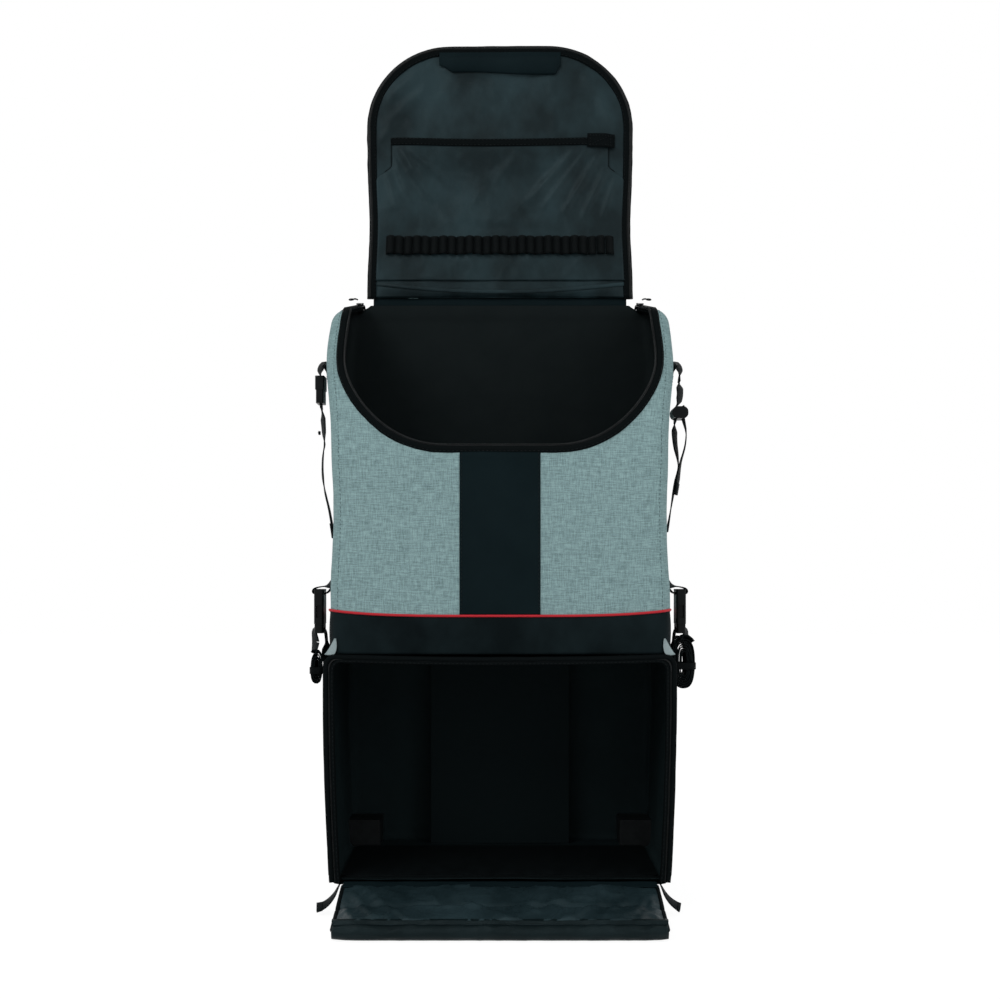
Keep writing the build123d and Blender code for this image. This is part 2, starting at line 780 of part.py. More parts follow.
with BuildPart() as lid_pocket:
    # In side view the pocket's cloth leaves the lining at the fold and stands off at its hem
    side_view = Plane(
        origin=lid_plane.from_local_coords((-pocket_half, 0, 0)),
        x_dir=lid_plane.y_dir,
        z_dir=(1, 0, 0),
    )
    toward = -1 if side_view.y_dir.Y > 0 else 1
    foot_s = fold_at + cloth_mitre
    with BuildSketch(side_view):
        with BuildLine():
            Polyline(
                (foot_s, toward * lid_thick),
                (foot_s, toward * (lid_thick + pocket_cloth)),
                (pocket_top - hem_height, toward * (lid_thick + pocket_stand + pocket_cloth)),
                (pocket_top, toward * (lid_thick + pocket_stand + 2 * pocket_cloth)),
                (pocket_top, toward * (lid_thick + pocket_stand)),
                (pocket_top - hem_height, toward * (lid_thick + pocket_stand)),
                (foot_s + pocket_cloth, toward * lid_thick),
                close=True,
            )
        make_face()
    extrude(amount=2 * pocket_half)
    with BuildSketch(side_view):
        with BuildLine():
            Polyline(
                (foot_s, toward * lid_thick),
                (pocket_top - hem_height, toward * (lid_thick + pocket_stand)),
                (pocket_top, toward * (lid_thick + pocket_stand)),
                (pocket_top, toward * lid_thick),
                close=True,
            )
        make_face()
    extrude(amount=pocket_cloth)
    with BuildSketch(side_view.offset(2 * pocket_half - pocket_cloth)):
        with BuildLine():
            Polyline(
                (foot_s, toward * lid_thick),
                (pocket_top - hem_height, toward * (lid_thick + pocket_stand)),
                (pocket_top, toward * (lid_thick + pocket_stand)),
                (pocket_top, toward * lid_thick),
                close=True,
            )
        make_face()
    extrude(amount=pocket_cloth)
save(lid_pocket, "lid_pocket")

with BuildPart() as pen_rest:
    with BuildSketch(lid_plane.offset(lid_thick)):
        add(lid_outline(lining_half, 0, rest_low, rest_high))
    extrude(amount=rest_thick)
save(pen_rest, "pen_rest")

with BuildPart() as pen_loops:
    loop_low = loop_centre - loop_height / 2
    loop_plane = Plane(
        origin=lid_plane.from_local_coords((0, loop_low, lid_thick + pocket_cloth)),
        x_dir=(1, 0, 0),
        z_dir=lid_plane.y_dir,
    )
    outward = 1 if loop_plane.y_dir.Y < 0 else -1
    with BuildSketch(loop_plane):
        with Locations((0, outward * loop_cloth / 2)):
            Rectangle(loop_pitch * loop_count, loop_cloth)
        with GridLocations(loop_pitch, 1, loop_count, 1):
            with Locations((0, outward * loop_reach / 2)):
                Rectangle(loop_pitch, loop_reach)
            with Locations((0, outward * loop_reach / 2)):
                Rectangle(loop_pitch - 2 * loop_cloth, loop_reach - 2 * loop_cloth, mode=Mode.SUBTRACT)
    extrude(amount=loop_height)
save(pen_loops, "pen_loops")

with BuildPart() as carry_handle:
    handle_plane = Plane(
        origin=lid_plane.from_local_coords((0, handle_at - handle_width / 2, 0)),
        x_dir=(1, 0, 0),
        z_dir=lid_plane.y_dir,
    )
    behind = 1 if handle_plane.y_dir.Y > 0 else -1
    arch_out = (handle_span**2 + handle_rise**2) / (2 * handle_rise)
    arch_in = arch_out - handle_thick
    with BuildSketch(handle_plane) as arch:
        with Locations((0, behind * (handle_rise - arch_out))):
            Circle(arch_out)
            Circle(arch_in, mode=Mode.SUBTRACT)
        with BuildSketch(mode=Mode.PRIVATE) as outside:
            with Locations((0, behind * handle_rise / 2)):
                Rectangle(2 * (handle_span + handle_pad), handle_rise)
        add(outside.sketch, mode=Mode.INTERSECT)
        with Locations(
            (-handle_span, behind * handle_thick / 2), (handle_span, behind * handle_thick / 2)
        ):
            Rectangle(2 * handle_pad, handle_thick)
    extrude(amount=handle_width)
save(carry_handle, "carry_handle")


# Webbing and buckles
def strap_line(points, sign, bend=2 * strap_thick):
    """A flat strap seen edge on from the front, along points on one side of the tote."""
    with BuildSketch(mode=Mode.PRIVATE) as strap:
        with BuildLine() as route:
            if len(points) > 2:
                FilletPolyline(*[(sign * x, z) for x, z in points], radius=bend)
            else:
                Polyline(*[(sign * x, z) for x, z in points])
        trace(route.line, line_width=strap_thick)
    return strap.sketch


buckle_x = tote_half + buckle_out
female_z = tote_z + female_low
male_z = female_z - gap - male_base
cart_side_x = cart_half_top + strap_thick / 2 + gap
tote_side_x = tote_half + strap_thick / 2

for side, sign in sides.items():
    with BuildPart() as tote_buckle:
        with Locations((sign * buckle_x, strap_y, female_z + female_height / 2)):
            Box(buckle_thick, buckle_width, female_height)
        fillet(tote_buckle.edges().filter_by(Axis.Z), radius=buckle_wall)
        with Locations((sign * buckle_x, strap_y, female_z + female_throat / 2)):
            Box(
                buckle_thick - 2 * buckle_wall,
                buckle_width - 2 * buckle_wall,
                female_throat,
                mode=Mode.SUBTRACT,
            )
        with Locations((sign * buckle_x, strap_y, female_z + female_throat / 2)):
            Box(buckle_thick - 2 * buckle_wall, buckle_width, female_throat / 2, mode=Mode.SUBTRACT)
        with Locations((sign * buckle_x, strap_y, female_z + female_height - 2 * buckle_wall)):
            Box(buckle_thick, strap_width + strap_thick, strap_thick + strap_gap, mode=Mode.SUBTRACT)
    save(tote_buckle, f"tote_buckle_{side}")

    with BuildPart() as cart_buckle:
        with Locations((sign * buckle_x, strap_y, male_z + male_base / 2)):
            Box(buckle_thick - 2 * male_step, buckle_width - 2 * male_step, male_base)
        fillet(cart_buckle.edges().filter_by(Axis.Z), radius=buckle_wall)
        with Locations((sign * buckle_x, strap_y, male_z + male_base / 2)):
            Box(buckle_thick, strap_width + strap_thick, strap_thick + strap_gap, mode=Mode.SUBTRACT)
        prong_thick = buckle_thick - 2 * (buckle_wall + prong_gap)
        prong_middle = male_z + male_base + prong_length / 2
        throat_half = buckle_width / 2 - buckle_wall
        prong_y = throat_half - prong_gap - prong_width / 2
        with Locations(
            (sign * buckle_x, strap_y - prong_y, prong_middle),
            (sign * buckle_x, strap_y + prong_y, prong_middle),
        ):
            Box(prong_thick, prong_width, prong_length)
        with Locations((sign * buckle_x, strap_y, prong_middle)):
            Box(prong_thick, guide_width, prong_length)
    save(cart_buckle, f"cart_buckle_{side}")

strap_plane = front_sketch_plane(strap_y + strap_width / 2)
loop_z = female_z + female_height - 2 * buckle_wall
bar_z = male_z + male_base / 2
slot_end_x = buckle_x + 2 * strap_thick
hank_x = bundle_out - hank_width / 2
hank_z = male_z - strap_gap - hank_length / 2
with BuildPart() as tote_webbing:
    with BuildSketch(strap_plane):
        for sign in sides.values():
            route = [(tote_side_x, loop_z + sewn_length), (tote_side_x, loop_z), (slot_end_x, loop_z)]
            add(strap_line(route, sign))
    extrude(amount=strap_width)
save(tote_webbing, "tote_webbing")

with BuildPart() as cart_webbing:
    with BuildSketch(strap_plane):
        for sign in sides.values():
            route = [(cart_side_x, cart_top_z - sewn_low), (cart_side_x, bar_z), (slot_end_x, bar_z)]
            add(strap_line(route, sign))
            with Locations((sign * hank_x, hank_z)):
                SlotOverall(hank_length, hank_width, rotation=90)
                SlotOverall(
                    hank_length - 4 * strap_thick,
                    hank_width - 4 * strap_thick,
                    rotation=90,
                    mode=Mode.SUBTRACT,
                )
            keeper_end = hank_x - hank_width / 2 + strap_thick
            add(strap_line([(cart_side_x, hank_z), (keeper_end, hank_z)], sign))
    extrude(amount=strap_width)
save(cart_webbing, "cart_webbing")

anchor_z = tote_z + anchor_rise
clip_x = buckle_x - clip_step
with BuildPart() as strap_anchors:
    with BuildSketch(strap_plane):
        for sign in sides.values():
            add(
                strap_line(
                    [
                        (tote_side_x, anchor_z - sewn_length),
                        (tote_side_x, anchor_z),
                        (clip_x, anchor_z),
                        (clip_x, anchor_z - anchor_drop),
                    ],
                    sign,
                )
            )
    extrude(amount=strap_width)
save(strap_anchors, "strap_anchors")

clip_high = anchor_z - anchor_drop + clip_pocket - 2 * gap
clip_low = clip_high - 2 * clip_half
with BuildPart() as side_buckle_left:
    with Locations((-clip_x, strap_y, clip_high - clip_half / 2)):
        Box(buckle_thick - 2 * male_step, buckle_width, clip_half)
    with Locations((-clip_x, strap_y, clip_low + clip_half / 2)):
        Box(buckle_thick - buckle_wall, buckle_width - 2 * clip_step, clip_half)
    fillet(side_buckle_left.edges().filter_by(Axis.Z), radius=clip_round)
    for pocket_z in (clip_high - clip_pocket / 2, clip_low + clip_pocket / 2):
        with Locations((-clip_x, strap_y, pocket_z)):
            Box(strap_thick + strap_gap, strap_width + strap_thick, clip_pocket, mode=Mode.SUBTRACT)
save(side_buckle_left, "side_buckle_left")

lock_z = anchor_z - lock_drop
with BuildPart() as ladder_lock_right:
    with Locations((clip_x, strap_y, lock_z)):
        Box(lock_thick, buckle_width, lock_height)
    fillet(ladder_lock_right.edges().filter_by(Axis.Y), radius=lock_round)
    with Locations((clip_x - lock_slot, strap_y, lock_z), (clip_x + lock_slot, strap_y, lock_z)):
        Box(2 * strap_thick, strap_width + strap_thick, lock_height, mode=Mode.SUBTRACT)
save(ladder_lock_right, "ladder_lock_right")

# The hanging straps' lines, as distances out from the tote's side and down from their start
left_hang = [(0, 0), (12, -49), (16, -99), (9, -134), (0, -167), (0, -184)]
right_hang = [(0, 0), (11, -35), (17, -66), (13, -100), (0, -142), (0, -160)]
with BuildPart() as side_webbing_left:
    hang_z = clip_low + clip_pocket - 2 * gap
    below = [(tote_side_x + out, hang_z + down) for out, down in left_hang[1:]]
    with BuildSketch(strap_plane):
        add(strap_line([(clip_x, hang_z), (clip_x, clip_low - strap_thick)] + below, -1, hang_bend))
    extrude(amount=strap_width)
save(side_webbing_left, "side_webbing_left")

with BuildPart() as side_webbing_right:
    inner_x = clip_x - lock_slot
    outer_x = clip_x + lock_slot
    below = [(tote_side_x + out, lock_z + down) for out, down in right_hang[1:]]
    with BuildSketch(strap_plane):
        add(
            strap_line(
                [
                    (clip_x, anchor_z - anchor_drop - gap),
                    (inner_x, lock_z + lock_height / 2),
                    (inner_x, lock_z - lock_height / 2),
                ]
                + below,
                1,
            )
        )
        outer_line = [(outer_x, lock_z), (outer_x, lock_z - 1.5 * lock_height), below[1]]
        add(strap_line(outer_line, 1, hang_bend))
    extrude(amount=strap_width)
save(side_webbing_right, "side_webbing_right")

# The pull tabs at the ends of the door's hinge line, sewn under the cart's front corners
tab_line = [(6, -1), (9, -16), (19, -30), (33, -37)]
with BuildPart() as door_end_tabs:
    with BuildSketch(front_sketch_plane(front_y + tab_width + strap_thick)):
        for sign in sides.values():
            add(strap_line([(door_half + out, floor_z + down) for out, down in tab_line], sign, tab_bend))
    extrude(amount=tab_width)
save(door_end_tabs, "door_end_tabs")

print("front", front_y, "hinge", hinge, "fold at", fold_at, "lid", lid_length)
print("upper", degrees(upper_angle), "slope", degrees(slope_angle), "fold", degrees(fold_angle))
print("door slope", degrees(door_slope), "fold point", door_fold_point, "reach", door_reach)
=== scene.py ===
import math

import bpy
import numpy as np
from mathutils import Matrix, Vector, noise


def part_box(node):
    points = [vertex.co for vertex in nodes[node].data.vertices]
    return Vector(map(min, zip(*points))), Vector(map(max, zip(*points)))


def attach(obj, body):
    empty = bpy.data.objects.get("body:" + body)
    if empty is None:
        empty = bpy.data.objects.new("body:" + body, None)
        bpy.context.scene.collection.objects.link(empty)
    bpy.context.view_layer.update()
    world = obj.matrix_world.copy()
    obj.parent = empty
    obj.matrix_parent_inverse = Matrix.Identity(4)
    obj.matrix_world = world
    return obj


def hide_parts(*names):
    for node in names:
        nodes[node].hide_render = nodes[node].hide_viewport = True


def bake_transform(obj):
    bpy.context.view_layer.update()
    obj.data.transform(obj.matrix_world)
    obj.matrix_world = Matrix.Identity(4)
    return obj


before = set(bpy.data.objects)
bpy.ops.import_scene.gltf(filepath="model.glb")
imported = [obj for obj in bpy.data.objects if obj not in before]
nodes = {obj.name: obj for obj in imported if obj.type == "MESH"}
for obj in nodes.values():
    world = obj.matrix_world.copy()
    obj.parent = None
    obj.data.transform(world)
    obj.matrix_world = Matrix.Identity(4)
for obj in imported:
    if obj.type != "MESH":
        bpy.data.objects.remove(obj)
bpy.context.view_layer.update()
print("frame loaded,", len(nodes), "nodes")


# ---- shader sums
class Wire:  # a shader socket that takes part in sums
    def __init__(self, finish, socket):
        self.finish, self.socket = finish, socket

    def sum(self, operation, first, second):
        return self.finish.node("ShaderNodeMath", {"operation": operation}, {0: first, 1: second})

    def larger(self, other):
        return self.sum("MAXIMUM", self, other)

    def __add__(self, other):
        return self.sum("ADD", self, other)

    def __radd__(self, other):
        return self.sum("ADD", other, self)

    def __mul__(self, other):
        return self.sum("MULTIPLY", self, other)

    def __rmul__(self, other):
        return self.sum("MULTIPLY", other, self)


class Finish:  # a material, or the world's shader, built from nodes
    def __init__(self, name, kind="materials"):
        self.material = getattr(bpy.data, kind).new(name)
        self.material.use_nodes = True
        self.tree = self.material.node_tree
        self.tree.nodes.clear()

    def node(self, kind, settings=None, sockets=None, out=0):
        made = self.tree.nodes.new(kind)
        for key, value in (settings or {}).items():
            if key == "stops":
                while len(made.color_ramp.elements) < len(value):
                    made.color_ramp.elements.new(0.5)
                for element, (place, shade) in zip(made.color_ramp.elements, value):
                    element.position, element.color = place, (shade, shade, shade, 1)
            else:
                setattr(made, key, value)
        for key, value in (sockets or {}).items():
            if isinstance(value, Wire):
                self.tree.links.new(value.socket, made.inputs[key])
            else:
                made.inputs[key].default_value = value
        return Wire(self, made.outputs[out]) if made.outputs else None

    def colours(self, share, first, second):
        return self.node(
            "ShaderNodeMix", {"data_type": "RGBA"}, {0: share, 6: paint(*first), 7: paint(*second)},
            2
        )

    def stretched(self, place, scale, turn=0.0):
        return self.node(
            "ShaderNodeMapping", {}, {0: place, "Rotation": (0, 0, turn), "Scale": scale}
        )

    def clouds(self, place, scale, detail=3.0, roughness=0.5):
        sockets = {"Vector": place, "Scale": scale, "Detail": detail, "Roughness": roughness}
        return self.node("ShaderNodeTexNoise", {}, sockets)

    def stripes(self, place, direction, pitch):
        wave = {"wave_type": "BANDS", "bands_direction": direction, "wave_profile": "SIN"}
        return self.node(
            "ShaderNodeTexWave", wave, {"Vector": place, "Scale": math.pi / 10 / pitch}
        )

    def ramp(self, value, low, high):
        return self.node("ShaderNodeValToRGB", {"stops": ((low, 0), (high, 1))}, {0: value})

    def finishOff(self, colour, roughness, specular, height, strength, distance, more=None):
        surface = {"Base Color": colour, "Roughness": roughness, "Specular IOR Level": specular}
        surface.update(more or {})
        relief = {"Strength": strength, "Distance": distance, "Height": height}
        surface["Normal"] = self.node("ShaderNodeBump", {}, relief)
        shader = self.node("ShaderNodeBsdfPrincipled", {}, surface)
        self.node("ShaderNodeOutputMaterial", {}, {"Surface": shader})
        return self.material


def paint(red, green, blue):
    return (red, green, blue, 1.0)


# ---- meshes
upward = (0.0, 0.0, 1.0)


def hold(vector, count):
    return np.repeat([vector], count, axis=0)


def unit(vectors):
    return vectors / np.linalg.norm(vectors, axis=1, keepdims=True)


def spread(*coordinates):
    return np.stack(np.broadcast_arrays(*coordinates), axis=-1)


def flipped(faces):
    return [tuple(reversed(face)) for face in faces]


def runAlong(line):
    return np.concatenate([[0], np.cumsum(np.linalg.norm(np.diff(line, axis=0), axis=1))])


def bump(value, centre, width):
    return np.exp(-(((value - centre) / width) ** 2))


def hump(value, low, high, power=1.0):
    return np.sin(math.pi * np.clip((value - low) / (high - low), 0, 1)) ** power


def gridFaces(rows, columns, ring=False, loop=False):
    faces = []
    for i in range(rows if loop else rows - 1):
        for j in range(columns if ring else columns - 1):
            k, m = (i + 1) % rows, (j + 1) % columns
            faces.append((i * columns + j, i * columns + m, k * columns + m, k * columns + j))
    return faces


def piece(name, shape, finish, body, stands=()):
    # shape: points, faces and where each point lies on the flat cloth, or a list of such parts
    points, faces, lie = joined(shape) if isinstance(shape, list) else shape
    mesh = bpy.data.meshes.new(name)
    mesh.from_pydata(np.asarray(points, float).reshape(-1, 3).tolist(), [], faces)
    mesh.materials.append(finish)
    mesh.shade_smooth()
    layer = mesh.attributes.new("cloth", "FLOAT_VECTOR", "POINT")
    layer.data.foreach_set("vector", np.asarray(lie, np.float32).ravel())
    made = bpy.data.objects.new(name, mesh)
    bpy.context.scene.collection.objects.link(made)
    if body:
        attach(made, body)
    if stands:
        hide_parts(*stands)
    return made


def normalsOf(grid):
    along = np.gradient(grid, axis=0)
    across = np.gradient(grid, axis=1)
    normal = np.cross(across, along)
    return normal / np.maximum(np.linalg.norm(normal, axis=2, keepdims=True), 1e-12)


def slab(grid, thickness, flat):
    # a closed thin slab: the grid is its shown face, and flat its places on the cloth
    rows, columns = grid.shape[:2]
    back = grid - normalsOf(grid) * thickness
    faces = gridFaces(rows, columns)
    count = rows * columns
    faces += [tuple(count + k for k in reversed(face)) for face in gridFaces(rows, columns)]
    edge = list(range(columns)) + [i * columns + columns - 1 for i in range(1, rows)]
    edge += [(rows - 1) * columns + j for j in range(columns - 2, -1, -1)]
    edge += [i * columns for i in range(rows - 2, 0, -1)]
    for a, b in zip(edge, edge[1:] + edge[:1]):
        faces.append((b, a, count + a, count + b))
    points = np.concatenate([grid.reshape(-1, 3), back.reshape(-1, 3)])
    lie = np.concatenate([flat.reshape(-1, 3), flat.reshape(-1, 3)])
    return points, faces, lie


def sweep(path, side, up, profile, loop=False):
    # carries a closed profile of (side, up) offsets along a path
    path, side, up = (np.asarray(a, float) for a in (path, side, up))
    profile = np.asarray(profile, float)
    points = (
        path[:, None]
        + side[:, None] * profile[None, :, :1]
        + up[:, None] * profile[None, :, 1:]
    )
    rows, columns = points.shape[:2]
    faces = gridFaces(rows, columns, ring=True, loop=loop)
    if not loop:
        faces.append(tuple(range(columns - 1, -1, -1)))
        faces.append(tuple((rows - 1) * columns + j for j in range(columns)))
    run = runAlong(path)
    girth = runAlong(profile)
    lie = np.zeros(points.shape)
    lie[..., 0], lie[..., 1] = girth[None, :], run[:, None]
    return points.reshape(-1, 3), faces, lie.reshape(-1, 3)


def roundedStrip(width, thickness, bevel=0.35, crown=0.0):
    # a flat strap's section, with soft edges and a slightly raised middle
    half, high, cut = width / 2, thickness, thickness * bevel
    top = [
        (-half, high - cut), (-half + cut, high), (0, high + crown), (half - cut, high),
        (half, high - cut)
    ]
    return top + [(half, cut), (half - cut, 0), (-half + cut, 0), (-half, cut)]


def circleProfile(radius, count=8, squash=1.0):
    turn = np.linspace(0, 2 * np.pi, count, endpoint=False)
    return np.stack([radius * np.cos(turn), radius * squash * np.sin(turn)], axis=1)


def resample(points, step):
    points = np.asarray(points, float)
    run = runAlong(points)
    count = max(2, int(round(run[-1] / step)) + 1)
    at = np.linspace(0, run[-1], count)
    return np.stack([np.interp(at, run, points[:, k]) for k in range(points.shape[1])], axis=1)


def smoothLine(points, step, order=3):
    # a soft line through the neighbourhood of given points
    made = np.asarray(points, float)
    for _ in range(order):
        cut = np.empty((2 * len(made) - 2, made.shape[1]))
        cut[0::2] = 0.75 * made[:-1] + 0.25 * made[1:]
        cut[1::2] = 0.25 * made[:-1] + 0.75 * made[1:]
        made = np.concatenate([made[:1], cut, made[-1:]])
    return resample(made, step)


def tangents(path):
    along = np.gradient(path, axis=0)
    return along / np.maximum(np.linalg.norm(along, axis=1, keepdims=True), 1e-12)


def joined(parts):
    points, faces, lie, count = [], [], [], 0
    for p, f, c in parts:
        points.append(np.asarray(p, float).reshape(-1, 3))
        lie.append(np.asarray(c, float).reshape(-1, 3))
        faces += [tuple(k + count for k in face) for face in f]
        count += len(points[-1])
    return np.concatenate(points), faces, np.concatenate(lie)


def beads(centres, longAxis, wideAxis, highAxis):
    # small pointed lozenges, as used for stitches and zipper teeth; each axis is a half size
    ring = [(1, 0), (0, 1), (-1, 0), (0, -1)]
    corners = [(1, 0, 0)] + [(0.3, *k) for k in ring] + [(-0.3, *k) for k in ring] + [(-1, 0, 0)]
    corners = np.array(corners, float)
    points = (
        centres[:, None]
        + corners[None, :, :1] * longAxis[:, None]
        + corners[None, :, 1:2] * wideAxis[:, None]
        + corners[None, :, 2:] * highAxis[:, None]
    )
    one = [(0, 1, 2), (0, 2, 3), (0, 3, 4), (0, 4, 1)]
    one += [(1, 5, 6, 2), (2, 6, 7, 3), (3, 7, 8, 4), (4, 8, 5, 1)]
    one += [(9, 6, 5), (9, 7, 6), (9, 8, 7), (9, 5, 8)]
    faces = [tuple(k + 10 * i for k in face) for i in range(len(centres)) for face in one]
    return points.reshape(-1, 3), faces, np.zeros((len(centres) * 10, 3))


def stitchRow(path, normal, pitch=0.0055, length=0.0038, radius=0.00045):
    run = resample(np.concatenate([path, normal], axis=1), pitch)
    path, normal = run[:, :3], run[:, 3:]
    along = tangents(path)
    normal = unit(normal)
    wide = np.cross(normal, along)
    return beads(path + normal * radius * 0.3, along * length / 2, wide * radius, normal * radius)


def zipCoil(path, normal, across, pitch=0.0021, reach=0.0024, radius=0.0007):
    run = resample(np.concatenate([path, normal, across], axis=1), pitch)
    path, normal, across = run[:, :3], run[:, 3:6], run[:, 6:]
    normal, across = unit(normal), unit(across)
    return beads(path + normal * radius, across * reach, tangents(path) * radius, normal * radius)


def fractal(points, scale, seed):
    # smooth noise, about -1 to 1, at each point
    shift = Vector((seed * 7.13, seed * 3.71, seed * 5.37))
    return np.array([noise.fractal(Vector(p) * scale + shift, 1.0, 2.0, 3) for p in points])


def aboveFloor(shape, height):
    shape[0][:, 2] = np.maximum(shape[0][:, 2], height)
    return shape


def roughened(shape, scale, seed, depth):
    points, faces, lie = shape
    return points + fractal(points, scale, seed)[:, None] * depth, faces, lie


def smoothStep(value, low, high):
    share = np.clip((value - low) / (high - low), 0, 1)
    return share * share * (3 - 2 * share)


# ---- finishes
def clothPlace(finish):
    return finish.node("ShaderNodeAttribute", {"attribute_name": "cloth"}, {}, 1)


def objectPlace(finish):
    return finish.node("ShaderNodeTexCoord", {}, {}, 3)


def heatherCloth(name):  # grey polyester whose yarns vary in tone along their length
    f = Finish(name)
    place = clothPlace(f)
    warpYarns = f.ramp(f.clouds(f.stretched(place, (700, 64, 1)), 1.0, 3.0, 0.65), 0.40, 0.60)
    weftYarns = f.ramp(f.clouds(f.stretched(place, (60, 640, 1)), 1.0, 3.0, 0.65), 0.40, 0.60)
    flecks = f.ramp(f.clouds(f.stretched(place, (900, 700, 1)), 1.0, 2.0), 0.4, 0.6)
    patches = f.clouds(place, 9.0, 2.0)
    # drag: slanting ripple lines, relief in the height and painted shade of the ripples in the
    # colour
    drag = f.clouds(f.stretched(place, (9, 62, 1), 0.16), 1.0, 3.0, 0.55)
    weft = f.stripes(place, "Y", 0.0016)
    warp = f.stripes(place, "X", 0.0016)
    mixed = 0.31 * warpYarns + 0.33 * weftYarns + 0.18 * flecks + 0.06 * patches + 0.12 * drag
    colour = f.colours(mixed, (0.100, 0.160, 0.168), (0.332, 0.492, 0.500))
    height = weft * 0.5 + warp * 0.5 + weftYarns * 0.4 + drag * 4.0
    return f.finishOff(colour, 0.86, 0.06, height, 0.35, 0.0006, {"Sheen Weight": 0.05})


def nylonCloth(name, dark, light, pitch=0.0012, gloss=0.55, specular=0.05, creases=0.4, paintedSheen=0.0):
    # paintedSheen is how much painted sheen goes into the colour: broad lighter and darker patches
    # that stand in for a shiny cloth's highlights
    f = Finish(name)
    place = clothPlace(f)
    yarns = f.stripes(place, "X", pitch) + f.stripes(place, "Y", pitch)
    soft = f.clouds(place, 22.0, 3.0)
    fine = f.clouds(place, 900.0, 2.0)
    broad = f.ramp(f.clouds(f.stretched(place, (11, 8, 1), 0.5), 1.0, 4.0, 0.55), 0.40, 0.63)
    # the colour mixes random tone (soft, fine) with the broad patches of painted sheen
    share = (0.55 - 0.4 * paintedSheen) * soft + 0.3 * fine + 0.75 * paintedSheen * broad
    colour = f.colours(share, dark, light)
    rough = gloss + 0.14 * soft
    height = yarns * 0.35 + fine * 0.4 + soft * creases * 6
    tint = {"Specular Tint": paint(0.72, 0.94, 1.0)}
    return f.finishOff(colour, rough, specular, height, 0.3, 0.0006, tint)


# webbing, elastic and grosgrain binding
def ribbedWeb(name, dark, light, pitch=0.0019, specular=0.07):
    f = Finish(name)
    place = clothPlace(f)
    ribs = f.stripes(place, "Y", pitch)
    weave = f.stripes(place, "X", pitch * 0.7)
    dust = f.clouds(place, 260.0, 3.0)
    colour = f.colours(0.6 * ribs + 0.3 * dust, dark, light)
    return f.finishOff(colour, 0.62 + 0.15 * dust, specular, ribs + weave * 0.4, 0.55, 0.0006)


# plastic, rubber, board
def moulded(name, dark, light, gloss=0.36, grain=900.0, depth=0.12, specular=0.12):
    f = Finish(name)
    place = objectPlace(f)
    scuffs = f.clouds(place, 55.0, 4.0, 0.65)
    pits = f.clouds(place, grain, 2.0)
    colour = f.colours(f.ramp(scuffs, 0.35, 0.75), dark, light)
    return f.finishOff(colour, gloss + 0.18 * scuffs, specular, pits, depth, 0.0004)


def brushedTube(name):
    f = Finish(name)
    place = objectPlace(f)
    drawn = f.clouds(f.stretched(place, (900, 900, 9)), 1.0, 3.0)
    smudge = f.clouds(place, 30.0, 3.0)
    colour = f.colours(drawn, (0.44, 0.45, 0.46), (0.62, 0.63, 0.64))
    return f.finishOff(colour, 0.24 + 0.16 * smudge, 0.5, drawn, 0.08, 0.0003, {"Metallic": 1.0})


def redPiping(name):
    f = Finish(name)
    place = clothPlace(f)
    rounds = f.stripes(place, "Y", 0.0011)
    dust = f.clouds(place, 60.0, 3.0)
    colour = f.colours(0.6 * dust + 0.3 * rounds, (0.36, 0.006, 0.014), (0.62, 0.016, 0.03))
    return f.finishOff(colour, 0.5, 0.3, rounds, 0.3, 0.0004)


heather = heatherCloth("heather_grey")
nylon = nylonCloth("black_nylon", (0.0016, 0.0048, 0.0060), (0.0060, 0.0126, 0.0150), paintedSheen=0.3)
# a darker copy of the black nylon for the tote's base band: painted shade under the piping, with
# strong painted sheen
baseNylonShaded = nylonCloth(
    "base_nylon_painted_shade", (0.0006, 0.0014, 0.0018), (0.0068, 0.0124, 0.0142), creases=1.4, paintedSheen=0.9
)
# the last number of each satin below is its painted sheen, strongest on slate_satin
satin = nylonCloth(
    "slate_satin", (0.0006, 0.0016, 0.0020), (0.0150, 0.0300, 0.0350), 0.0009, 0.27, 0.14, 0.25, 1.0
)
# lit and shaded copies of one satin: painted light on the door pad's upturned face, painted shade
# on the folded edge's front
doorSatinLit = nylonCloth(
    "door_satin_painted_light", (0.0030, 0.0080, 0.0096), (0.0230, 0.0430, 0.0500), 0.0009, 0.33, 0.13, 0.25, 0.7
)
foldSatinShaded = nylonCloth(
    "fold_satin_painted_shade", (0.0012, 0.0034, 0.0040), (0.0085, 0.0160, 0.0180), 0.0009, 0.27, 0.1, 0.25, 0.7
)
# a darker copy of the lining nylon, painted shade for the inside of the tote
mouthNylonShaded = nylonCloth(
    "mouth_nylon_painted_shade", (0.0040, 0.0060, 0.0064), (0.0115, 0.0150, 0.0155), 0.0012, 0.6, 0.05
)
innerNylon = nylonCloth(
    "inner_nylon", (0.0060, 0.0110, 0.0125), (0.0160, 0.0260, 0.0280), 0.0012, 0.62, 0.05
)
channelNylon = nylonCloth(
    "channel_nylon", (0.0034, 0.0062, 0.0070), (0.0096, 0.0156, 0.0168), 0.0012, 0.62
)
paleCornerCloth = nylonCloth("pale_corner_grey", (0.2, 0.26, 0.27), (0.42, 0.5, 0.51), 0.0012, 0.7)
binding = ribbedWeb(
    "edge_binding", (0.0008, 0.0017, 0.0020), (0.0034, 0.0056, 0.0062), 0.0013, 0.04
)
webbing = ribbedWeb("black_webbing", (0.0014, 0.0028, 0.0032), (0.0085, 0.0125, 0.0135))
elastic = ribbedWeb("loop_elastic", (0.0010, 0.0018, 0.0020), (0.0045, 0.0068, 0.0074), 0.0012)
piping = redPiping("red_piping")
thread = moulded("sewing_thread", (0.003, 0.005, 0.0058), (0.008, 0.0115, 0.0125), 0.5)
greyThread = moulded("grey_thread", (0.06, 0.10, 0.105), (0.11, 0.165, 0.17), 0.6)
